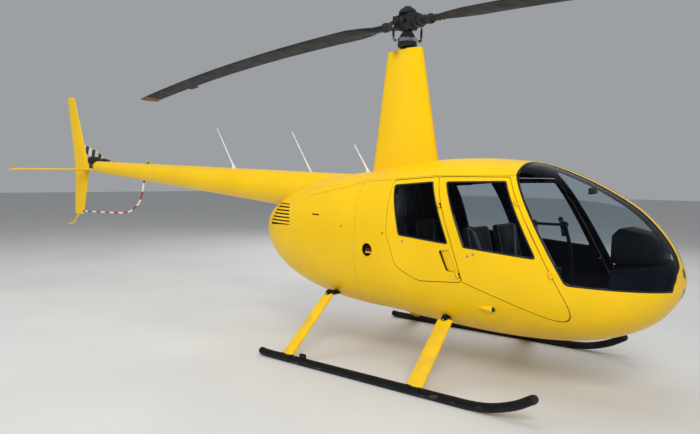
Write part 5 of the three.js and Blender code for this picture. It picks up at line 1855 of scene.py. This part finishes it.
class HELICOPTER_OT_engine(bpy.types.Operator):
    """Firewall, engine block and exhaust"""

    bl_idname = "helicopter.engine"
    bl_label = "Engine"

    def execute(self, context):
        wall_form = carve(
            hull(27), keep(block(COWL_SEAM + 5, COWL_SEAM + 19, -OUTSIDE, OUTSIDE, 0, 1640)),
            minus(fairing(1, 1500, 2885)))
        piece("firewall_sheet", wall_form, "steel", stands_for=["firewall"])
        blocks = [block(-980, -330, -265, 265, 690, 1080), block(-1225, -970, 60, 180, 700.3, 800)]
        blocks += [block(-340, COWL_SEAM + 4.7, y - 22, y + 22, 690, 740) for y in (-210, 210)]
        piece(
            "engine_block_casting", joined(*blocks), "engine_casting",
            stands_for=["engine_block"], bevel=0.012)
        fins = []
        for i in range(14):
            x = -940 + i * 42
            fins.append(both(block(x, x + 6, -300, -262, 760, 1030)))
        piece("engine_fins", joined(*fins), "engine_casting")
        pipe = tube(EXHAUST_PATH, EXHAUST_RADIUS, 30, 36)
        mouth = tube([*EXHAUST_PATH[2:], (-1345, 120, 502)], EXHAUST_RADIUS - 3, 12, 36)
        exhaust = carve(pipe, keep(block(-1500, -1100, 0, 300, 400, 700)), minus(mouth))
        piece("exhaust_tube", exhaust, "burnt_steel", stands_for=["exhaust_pipe"])
        return {"FINISHED"}


# Stuffed seats

SEAT_SHIFT = -860.0  # from a front seat to the rear one behind it
SEAT_Y = (-500.0, -60.0)
BACK_Y = (-490.0, -70.0)
CUSHION = [(950, 800.3, 20), (1400, 800.3, 20), (1400, 895, 40), (910, 885, 12), (910, 860, 12)]
BACK = [(920, 885.5, 8), (1030, 887.8, 8), (940, 1270, 35), (860, 1270, 35)]
PAD_ROOM = 10.0  # a pad starts this far inside its solid, and swells by a little less
PAD_SWELL = 9.5


def pad_form(outline, y0, y1, room, thin):
    """A pad before it is stuffed: its section inset by its room, and by more towards its two sides."""
    rings = []
    for t in np.concatenate([[0, 0.02, 0.05], np.linspace(0.1, 0.9, 15), [0.95, 0.98, 1]]):
        inset = room + thin * abs(2 * t - 1) ** 5
        section = rounded(grown([(x, z, max(radius, 14) + room) for x, z, radius in outline], -inset), 6)
        rings.append([(x, y0 + room + (y1 - y0 - 2 * room) * t, z) for x, z in section])
    return loft(rings)


def puffed(shape):
    """A stuffed form blown up by cloth pressure and smoothed once; no point moves further than the swell."""
    scene = bpy.context.scene
    thing = stood("pad", mesh_of(shape))
    voxels = thing.modifiers.new("voxels", "REMESH")
    voxels.mode = "VOXEL"
    voxels.voxel_size = 0.009
    thing.data = baked(thing)
    thing.modifiers.clear()
    before = np.array([v.co for v in thing.data.vertices])
    cloth = thing.modifiers.new("cloth", "CLOTH")
    cloth.settings.use_pressure = True
    cloth.settings.uniform_pressure_force = 4.0
    cloth.settings.effector_weights.gravity = 0.0
    cloth.point_cache.frame_start = 1
    cloth.point_cache.frame_end = 20
    for step in range(1, 21):
        scene.frame_set(step)
    swollen = baked(thing)
    after = np.array([v.co for v in swollen.vertices])
    thing.modifiers.clear()
    scene.frame_set(1)
    move = after - before
    far = np.linalg.norm(move, axis=1)
    cap = PAD_SWELL * MM
    after = before + move * (np.minimum(far, cap) / np.maximum(far, 1e-9))[:, None]
    thing.data.vertices.foreach_set("co", after.ravel())
    finer = thing.modifiers.new("finer", "SUBSURF")
    finer.levels = finer.render_levels = 1
    mesh = baked(thing)
    bpy.data.objects.remove(thing)
    return mesh


def grooved(mesh, distance, depth=4.0, width=4.5):
    """Sews channels into a mesh: each point sinks by how near it is to a seam."""
    points = points_of(mesh)
    normals = np.empty(len(mesh.vertices) * 3)
    mesh.vertices.foreach_get("normal", normals)
    sink = depth * np.exp(-(distance(points) / width) ** 2)
    points -= normals.reshape(-1, 3) * sink[:, None]
    set_points(mesh, points)
    mesh.update()
    return mesh


def tree_of(mesh):
    points, faces = shape_of(mesh)
    return BVHTree.FromPolygons([tuple(p) for p in points], faces)


def on_surface(tree, guide, lift=0.0):
    """The nearest points of a surface to a guide line, lifted off it, and its directions there."""
    points, facing = [], []
    for at in guide:
        near, normal, _, _ = tree.find_nearest(Vector(at))
        points.append(tuple(near + normal * lift))
        facing.append(tuple(normal))
    return np.array(points), np.array(facing)


def eased(values, turns=2):
    """A line smoothed along itself, with its ends left where they are."""
    values = np.array(values, float)
    for _ in range(turns):
        values[1:-1] = (values[:-2] + 2 * values[1:-1] + values[2:]) / 4
    return values


def ring_line(line, radius, sides=10):
    """A closed piping round a line of points whose last meets its first."""
    line = np.asarray(line, float)
    ahead = np.roll(line, -1, axis=0) - np.roll(line, 1, axis=0)
    ahead /= np.linalg.norm(ahead, axis=1)[:, None]
    centre = line.mean(axis=0)
    rings = []
    for at, along in zip(line, ahead):
        side = np.cross(along, at - centre)
        side /= np.linalg.norm(side)
        up = np.cross(side, along)
        rings.append([at + side * a + up * b for a, b in circle(radius, sides)])
    return loft(rings, closed=True)


def ribbon(points, facing, width, thick=1.8):
    """A flat strap along points, lying on its facing directions."""
    points, facing = np.asarray(points, float), np.asarray(facing, float)
    ahead = np.gradient(points, axis=0)
    ahead /= np.linalg.norm(ahead, axis=1)[:, None]
    rings = []
    for at, along, up in zip(points, ahead, facing):
        side = np.cross(along, up)
        side /= np.linalg.norm(side)
        lift = np.cross(side, along)
        half = width / 2
        corners = [(-half, 0), (half, 0), (half, thick * 0.6), (half - 1.2, thick), (1.2 - half, thick),
                   (-half, thick * 0.6)]
        rings.append([at + side * a + lift * b for a, b in corners])
    return loft(rings)


def every_seat(mesh, row_names=("front", "rear")):
    """A right front seat's mesh with its copies: (side, row, mesh)."""
    result = []
    for row in row_names:
        copy = mesh.copy()
        if row == "rear":
            copy.transform(Matrix.Translation((SEAT_SHIFT * MM, 0, 0)))
        result.append(("right", row, copy))
        result.append(("left", row, flipped(copy)))
    return result


def at_every_seat(name, mesh, finish, **options):
    """A piece at each of the four seats."""
    for side, row, copy in every_seat(mesh):
        piece(f"{row}_{name}_{side}", copy, finish, **options)


def back_face(z, foot=1048):
    """How far forward the leaning front of a seat back is at a height."""
    return foot - (z - 886) * 0.235


def seat_trim(cushion, back, middle):
    """Piping, stitches and harness straps, laid on the pads' own surfaces."""
    on_cushion, on_back = tree_of(cushion), tree_of(back)
    low, high = SEAT_Y
    loop = [
        (920, low, 905), (1130, low - 5, 905), (1390, low, 905), (1420, low + 60, 905),
        (1420, high - 60, 905), (1390, high, 905), (1130, high + 5, 905), (920, high, 905),
        (895, high - 60, 905), (895, low + 60, 905),
    ]
    guide = spread(loop, 120, closed=True)
    guide[:, 2] = 900 - (1420 - guide[:, 0]) * 0.02
    line, _ = on_surface(on_cushion, guide)
    pipes = [ring_line(eased_ring(line), 3.6)]
    low, high = BACK_Y
    loop = [
        (0, low, 900), (0, low - 4, 1080), (0, low, 1240), (0, low + 60, 1280), (0, high - 60, 1280),
        (0, high, 1240), (0, high + 4, 1080), (0, high, 900), (0, high - 60, 884), (0, low + 60, 884),
    ]
    guide = spread(loop, 120, closed=True)
    guide[:, 0] = back_face(guide[:, 2])
    line, _ = on_surface(on_back, guide)
    pipes.append(ring_line(eased_ring(line), 3.6))
    at_every_seat("seat_piping", mesh_of(joined(*pipes)), "thread", sharp=180)

    lines = []
    for y in (middle - 128, middle + 128):
        for off in (-7, 7):
            guide = [(x, y + off, 930) for x in np.linspace(940, 1385, 40)]
            lines.append(on_surface(on_cushion, guide, 0.3))
    for off in (-7, 7):
        guide = [(1270 + off, y, 930) for y in np.linspace(middle - 118, middle + 118, 26)]
        lines.append(on_surface(on_cushion, guide, 0.3))
    for y in (middle - 118, middle + 118):
        for off in (-7, 7):
            guide = [(back_face(z), y + off, z) for z in np.linspace(905, 1255, 40)]
            lines.append(on_surface(on_back, guide, 0.3))
    stitch = sizes().stitch / MM
    form = turned([(0.1, 0), (0.8, 1), (0.8, stitch * 0.72 - 1), (0.1, stitch * 0.72)],
                  (-stitch * 0.36, 0, 0.3), (0, 0, 0.3), 6)
    sewn = repeat("right_front_stitches", form, lines, stitch, "thread")
    stitches = sewn.data.copy()
    bpy.data.objects.remove(sewn)
    at_every_seat("seat_stitches", stitches, "thread")

    straps, metal = [], []
    guide = np.array([(1085 + 18 * math.sin((y - middle) / 110), y, 930) for y in np.linspace(-512, -48, 60)])
    points, facing = on_surface(on_cushion, guide, 2.0)
    straps.append(ribbon(eased(points, 6), eased(facing, 6), 46))
    upper = [(700, -420, 1200), (800, -418, 1290), (880, -415, 1300), (960, -410, 1290)]
    lower = [(back_face(z, 1060), -410 + (1250 - z) * 0.36, z) for z in np.linspace(1250, 930, 30)]
    guide = np.vstack([spread(upper, 16), lower])
    points, facing = on_surface(on_back, guide, 2.0)
    end = points[-1]
    reach = np.array([end + (np.array([1085, middle + 4, 902]) - end) * t for t in (0.3, 0.65, 1.0)])
    points = np.vstack([points, reach])
    facing = np.vstack([facing, [(0.6, 0, 0.8), (0.3, 0, 0.95), (0, 0, 1)]])
    straps.append(ribbon(eased(points, 8), eased(facing, 8), 46))
    top = on_surface(on_cushion, [(1085, middle, 960)], 4)[0][0]
    metal.append(block(top[0] - 26, top[0] + 26, top[1] - 34, top[1] + 34, top[2], top[2] + 13))
    at_every_seat("harness", mesh_of(joined(*straps)), "webbing")
    at_every_seat("buckle", mesh_of(joined(*metal)), "steel", bevel=0.004)


class HELICOPTER_OT_seats(bpy.types.Operator):
    """Four leather seats with piping, stitches and harnesses"""

    bl_idname = "helicopter.seats"
    bl_label = "Seats"

    def execute(self, context):
        middle = (SEAT_Y[0] + SEAT_Y[1]) / 2
        cushion = puffed(pad_form(CUSHION, *SEAT_Y, PAD_ROOM, 8))
        points = points_of(cushion)
        points[:, 2] = np.maximum(points[:, 2], 801.0)
        set_points(cushion, points)

        def cushion_seams(p):
            along = np.abs(np.abs(p[:, 1] - middle) - 128)
            across = np.where(np.abs(p[:, 1] - middle) < 128, np.abs(p[:, 0] - 1270), 99)
            return np.where(p[:, 2] > 850, np.minimum(along, across), 99)

        grooved(cushion, cushion_seams)
        back = puffed(pad_form(BACK, *BACK_Y, PAD_ROOM, 6))

        def back_seams(p):
            along = np.abs(np.abs(p[:, 1] - middle) - 118)
            across = np.where(np.abs(p[:, 1] - middle) < 118, np.abs(p[:, 2] - 1130), 99)
            front = p[:, 0] > 975 - (p[:, 2] - 886) * 0.22
            return np.where(front, np.minimum(along, across), 99)

        grooved(back, back_seams)
        for part, mesh in (("cushion", cushion), ("back", back)):
            for side, row, copy in every_seat(mesh):
                node = f"{row}_seat_{part}_{side}"
                thing = piece(f"{node}_pad", copy, "seat_leather", stands_for=[node], sharp=180)
        seat_trim(cushion, back, middle)
        return {"FINISHED"}


def eased_ring(line, turns=3):
    """A closed line smoothed along itself."""
    for _ in range(turns):
        line = (np.roll(line, 1, axis=0) + 2 * line + np.roll(line, -1, axis=0)) / 4
    return line


def build_console():
    panel = side_prism(rounded([
        (1970, 1030, 20), (1975, 1240, 30), (2030, 1298, 30), (2190, 1262, 30), (2300, 1190, 40),
        (2325, 1040, 20)]), -165, 165)
    pedestal = side_prism([(1950, 550.3), (2120, 550.3), (2230, 1040), (1990, 1040)], -110, 110)
    body = carve(hull(INNER_SKIN), keep(mesh_of(panel)))
    stand = carve(hull(INNER_SKIN), keep(mesh_of(pedestal)))
    piece("console_panel", body, "black_trim", stands_for=["instrument_console"], bevel=0.008)
    piece("console_pedestal", stand, "black_trim", bevel=0.006)
    bezels, cards, marks = [], [], []
    for row, (z, radius) in enumerate(((1196, 38), (1108, 38))):
        for y in (-106, 0, 106):
            x = 1970 + (z - 1030) * 0.024
            at = Vector((x + 1, y, z))
            out = Vector((-1, 0, 0.024)).normalized()
            bezels.append(shape_of(carve(
                turned([(radius + 6, 0), (radius + 5, 5), (radius - 1, 7), (0, 7)], at, at + out, 40),
                minus(turned([(radius - 3, 2.5), (radius - 3, 20)], at, at + out, 40)))))
            cards.append(turned([(radius - 2.8, 2.2), (radius - 2.8, 3.0), (0, 3.0)], at, at + out, 32))
            up = Vector((0.024, 0, 1)).normalized()
            side = Vector((0, 1, 0))
            for i in range(12):
                t = i / 12 * 2 * math.pi
                spot = up * math.cos(t) + side * math.sin(t)
                a, b = at + out * 3.3 + spot * (radius - 10), at + out * 3.3 + spot * (radius - 5)
                marks.append(rod(a, b, 0.8, sides=4))
            t = 2.1 + 1.3 * row + y * 0.013
            spot = up * math.cos(t) + side * math.sin(t)
            pivot = at + out * 3.8
            marks.append(rod(pivot - spot * 5, pivot + spot * (radius - 9), 1.6, 0.5, sides=6))
    piece("dial_bezels", joined(*bezels), "black_trim")
    piece("dial_cards", joined(*cards), "dial_face")
    piece("dial_marks", joined(*marks), "white_paint")
    radios = []
    for i, z in enumerate((985, 930, 875)):
        x = 1990 - (1040 - z) * 0.0816
        radios.append(block(x - 8, x + 20, -84, 84, z - 22, z + 22))
    piece("radio_faces", joined(*radios), "black_trim", bevel=0.003)
    knobs, screens = [], []
    for z in (985, 930, 875):
        x = 1990 - (1040 - z) * 0.0816 - 8
        for y in (-68, 68):
            knobs.append(turned([(9, 0), (8, 12), (0, 13)], (x, y, z), (x - 1, y, z), 20))
        screens.append(block(x - 1, x + 1, -48, 48, z - 9, z + 12))
    piece("radio_knobs", joined(*knobs), "rubber")
    piece("radio_screens", joined(*screens), "dial_face")
    pod_outline = [(1748, 1540, 10), (1748, 1592, 12), (1798, 1600, 12), (1806, 1548, 12)]
    pod = side_prism(rounded(pod_outline), -30, 30)
    stem = rod((1778, 0, 1590), (1776, 0, skin_rows(1776)[0] - 12), 6)
    piece("compass", joined(pod, stem), "black_trim", bevel=0.004)
    glass = turned([(21, 0), (20, 3), (0, 6)], (1748.5, 0, 1566), (1740, 0, 1566), 28)
    piece("compass_face", glass, "dial_face")


def build_controls():
    stick = sweep([(1640, 0, 550.4), (1640, 0, 800), (1610, 0, 1100), (1560, 0, 1300)], circle(15, 24), 40)
    arms = joined(*[rod((1560, 0, 1290), (1420, s * 290, 1310), 11, sides=20) for s in (-1, 1)])
    boot = turned([(58, 0), (54, 14), (40, 22), (44, 32), (28, 44), (30, 54), (16, 66)],
                  (1640, 0, FLOOR_Z), (1640, 0, 600), 36)
    hinge = joined(rod((1560, -34, 1291), (1560, 34, 1291), 21, sides=28), ball((1560, 0, 1297), 22))
    piece("cyclic_bar", joined(stick, arms, hinge), "black_trim", stands_for=["cyclic_stick"])
    piece("cyclic_boot", boot, "rubber")
    grips, buttons = [], []
    for s in (-1, 1):
        top, low = (1420, s * 290, 1332), (1455, s * 290, 1170)
        grip = [(12, 0), (19, 5), (20, 22), (16, 40), (18, 54), (15, 70), (17.5, 84), (15, 100), (17.5, 114),
                (15, 130), (18, 150), (20, 158), (12, 165)]
        grips.append(turned(grip, top, low, 28))
        up = (Vector(top) - Vector(low)).normalized()
        spot = Vector(top) + up * 0.5
        buttons.append(turned([(11, -4), (11, 5), (7, 8), (0, 8)], spot, spot + up, 24))
        aft = Vector(top) - up * 14 + Vector((-19, 0, 0))
        buttons.append(turned([(6, -3), (6, 4), (0, 5)], aft, aft + Vector((-1, 0, 0)), 16))
    piece("cyclic_grips", joined(*grips), "rubber")
    piece("cyclic_buttons", joined(*buttons), "red_lens")
    for side, turn in (("right", lambda m: m), ("left", mirrored)):
        base = block(1868, 1892, -350, -180, 550.3, 574)
        bars = [rod((1880, y, 562), (1880, y, 706), 9) for y in (-320, -210)]
        pads = [block(1868, 1884, y - 36, y + 36, 690, 760) for y in (-320, -210)]
        ribs = [
            block(1865.4, 1869, y - 32, y + 32, z, z + 5) for y in (-320, -210) for z in range(698, 754, 10)]
        piece(f"pedals_{side}_arms", turn(joined(base, *bars, *pads)), "steel", stands_for=[f"pedals_{side}"],
              bevel=0.003)
        piece(f"pedals_{side}_ribs", turn(joined(*ribs)), "rubber")
    lever = sweep([(1000, 0, 780), (1000, 0, 840), (1080, 0, 900), (1240, 0, 975), (1400, 0, 1025)],
                  circle(15, 24), 50)
    cut = carve(lever, keep(block(900, 1500, -60, 60, 800.4, 1200)))
    piece("collective_bar", cut, "black_trim", stands_for=["collective_lever"])
    handle = turned([(15, 0), (19, 4), (18, 60), (20, 110), (20, 140), (13, 150)],
                    (1262, 0, 982), (1400, 0, 1026), 28)
    piece("collective_grip", handle, "rubber")


class HELICOPTER_OT_cabin(bpy.types.Operator):
    """Floor, seat boxes, instrument console and controls"""

    bl_idname = "helicopter.cabin"
    bl_label = "Cabin"

    def execute(self, context):
        floor = carve(hull(INNER_SKIN), keep(block(-130.7, 2120, -OUTSIDE, OUTSIDE, 532, FLOOR_Z)))
        piece("cabin_floor_carpet", floor, "grey_carpet", stands_for=["cabin_floor"])
        mats = []
        for y in (-220, 220):
            mats.append(block(1480, 1840, y - 160, y + 160, FLOOR_Z - 5, FLOOR_Z + 2.6))
            for i in range(24):
                x = 1490 + i * 14.6
                mats.append(block(x, x + 7, y - 152, y + 152, FLOOR_Z + 2, FLOOR_Z + 4))
        piece("foot_mats", joined(*mats), "rubber")
        for row, x, long in (("front", 930, 470), ("rear", 20, 520)):
            box = block(x, x + long, -410, 410, 550.3, SEAT_BOX_TOP)
            piece(f"{row}_seat_box_panel", box, "grey_carpet", stands_for=[f"{row}_seat_box"], bevel=0.008)
        build_console()
        build_controls()
        return {"FINISHED"}


# The photograph's camera, in the row's frame, in metres

CAMERA_AT = (4.098, -5.023, 1.637)
CAMERA_YAW = math.radians(38.62)
CAMERA_PITCH = math.radians(-3.44)
CAMERA_ROLL = math.radians(0.62)
LENS = 31.886


class HELICOPTER_OT_stage(bpy.types.Operator):
    """Floor, light and the photograph's camera"""

    bl_idname = "helicopter.stage"
    bl_label = "Stage"

    def execute(self, context):
        scene = context.scene
        floor_mesh = bpy.data.meshes.new("floor")
        side = 60.0
        floor_mesh.from_pydata([(-side, -side, 0), (side, -side, 0), (side, side, 0), (-side, side, 0)], [],
                               [(0, 1, 2, 3)])
        floor_mesh.materials.append(FINISHES["pale_floor"]())
        stood("floor", floor_mesh)
        world = bpy.data.worlds.new("studio")
        world.use_nodes = True
        world.node_tree.nodes["Background"].inputs["Color"].default_value = (0.80, 0.83, 0.87, 1)
        world.node_tree.nodes["Background"].inputs["Strength"].default_value = 0.42
        scene.world = world
        scene.view_settings.view_transform = "Standard"
        for name, at, aim, size, power, colour in (
            ("key", (7.5, -7.5, 7.5), (0, 0, 1.2), 5.5, 930, (1.0, 0.98, 0.95)),
            ("fill", (-6.5, -8.5, 5.0), (-1.5, 0, 1.4), 6.0, 300, (0.95, 0.97, 1.0)),
            ("top", (-1.0, 0.5, 9.0), (-1.0, 0, 0), 9.0, 360, (1.0, 1.0, 1.0)),
            ("rim", (-4.0, 9.0, 6.0), (-1.0, 0, 1.5), 5.0, 380, (1.0, 0.99, 0.97)),
        ):
            light = bpy.data.lights.new(name, "AREA")
            light.shape = "SQUARE"
            light.size = size
            light.energy = power
            light.color = colour
            lamp = stood(name, light)
            lamp.visible_glossy = lamp.visible_transmission = False
            lamp.location = at
            lamp.rotation_euler = (Vector(aim) - Vector(at)).to_track_quat("-Z", "Y").to_euler()
        camera = stood("camera", bpy.data.cameras.new("camera"))
        camera.data.lens = LENS
        camera.data.sensor_width = 36.0
        forward = Vector((-math.sin(CAMERA_YAW) * math.cos(CAMERA_PITCH),
                          math.cos(CAMERA_YAW) * math.cos(CAMERA_PITCH), math.sin(CAMERA_PITCH)))
        right = forward.cross(Vector((0, 0, 1))).normalized()
        up = right.cross(forward)
        c, s = math.cos(CAMERA_ROLL), math.sin(CAMERA_ROLL)
        right, up = right * c + up * s, up * c - right * s
        turn = Matrix((right, up, -forward)).transposed().to_4x4()
        camera.matrix_world = Matrix.Translation(CAMERA_AT) @ turn
        scene.camera = camera
        return {"FINISHED"}


GROUPS = (
    ("Body", (
        HELICOPTER_OT_shell, HELICOPTER_OT_shell_details, HELICOPTER_OT_windshields, HELICOPTER_OT_doors)),
    ("Rotor", (HELICOPTER_OT_mast, HELICOPTER_OT_rotor)),
    ("Tail", (HELICOPTER_OT_tail, HELICOPTER_OT_tail_rotor)),
    ("Gear and engine", (HELICOPTER_OT_gear, HELICOPTER_OT_engine)),
    ("Cabin", (HELICOPTER_OT_cabin, HELICOPTER_OT_seats)),
    ("Stage", (HELICOPTER_OT_stage,)),
)


class HELICOPTER_PT_panel(bpy.types.Panel):
    """Sidebar panel with the helicopter's pieces and settings"""

    bl_idname = "HELICOPTER_PT_panel"
    bl_label = "Light Helicopter"
    bl_space_type = "VIEW_3D"
    bl_region_type = "UI"
    bl_category = "Helicopter"

    def draw(self, context):
        layout = self.layout
        for settings in (context.scene.helicopter_paint, context.scene.helicopter_sizes):
            box = layout.box()
            for name in settings.__annotations__:
                box.prop(settings, name)
        for title, operators in GROUPS:
            box = layout.box()
            box.label(text=title)
            for operator in operators:
                box.operator(operator.bl_idname)


CLASSES = (
    HelicopterPaint, HelicopterSizes, *[operator for _, operators in GROUPS for operator in operators],
    HELICOPTER_PT_panel,
)


def register():
    for each in CLASSES:
        bpy.utils.register_class(each)
    bpy.types.Scene.helicopter_paint = bpy.props.PointerProperty(type=HelicopterPaint)
    bpy.types.Scene.helicopter_sizes = bpy.props.PointerProperty(type=HelicopterSizes)


def unregister():
    del bpy.types.Scene.helicopter_sizes
    del bpy.types.Scene.helicopter_paint
    for each in reversed(CLASSES):
        bpy.utils.unregister_class(each)


def main():
    register()
    for _, operators in GROUPS:
        for operator in operators:
            group, name = operator.bl_idname.split(".")
            getattr(getattr(bpy.ops, group), name)()


if __name__ == "__main__":
    main()
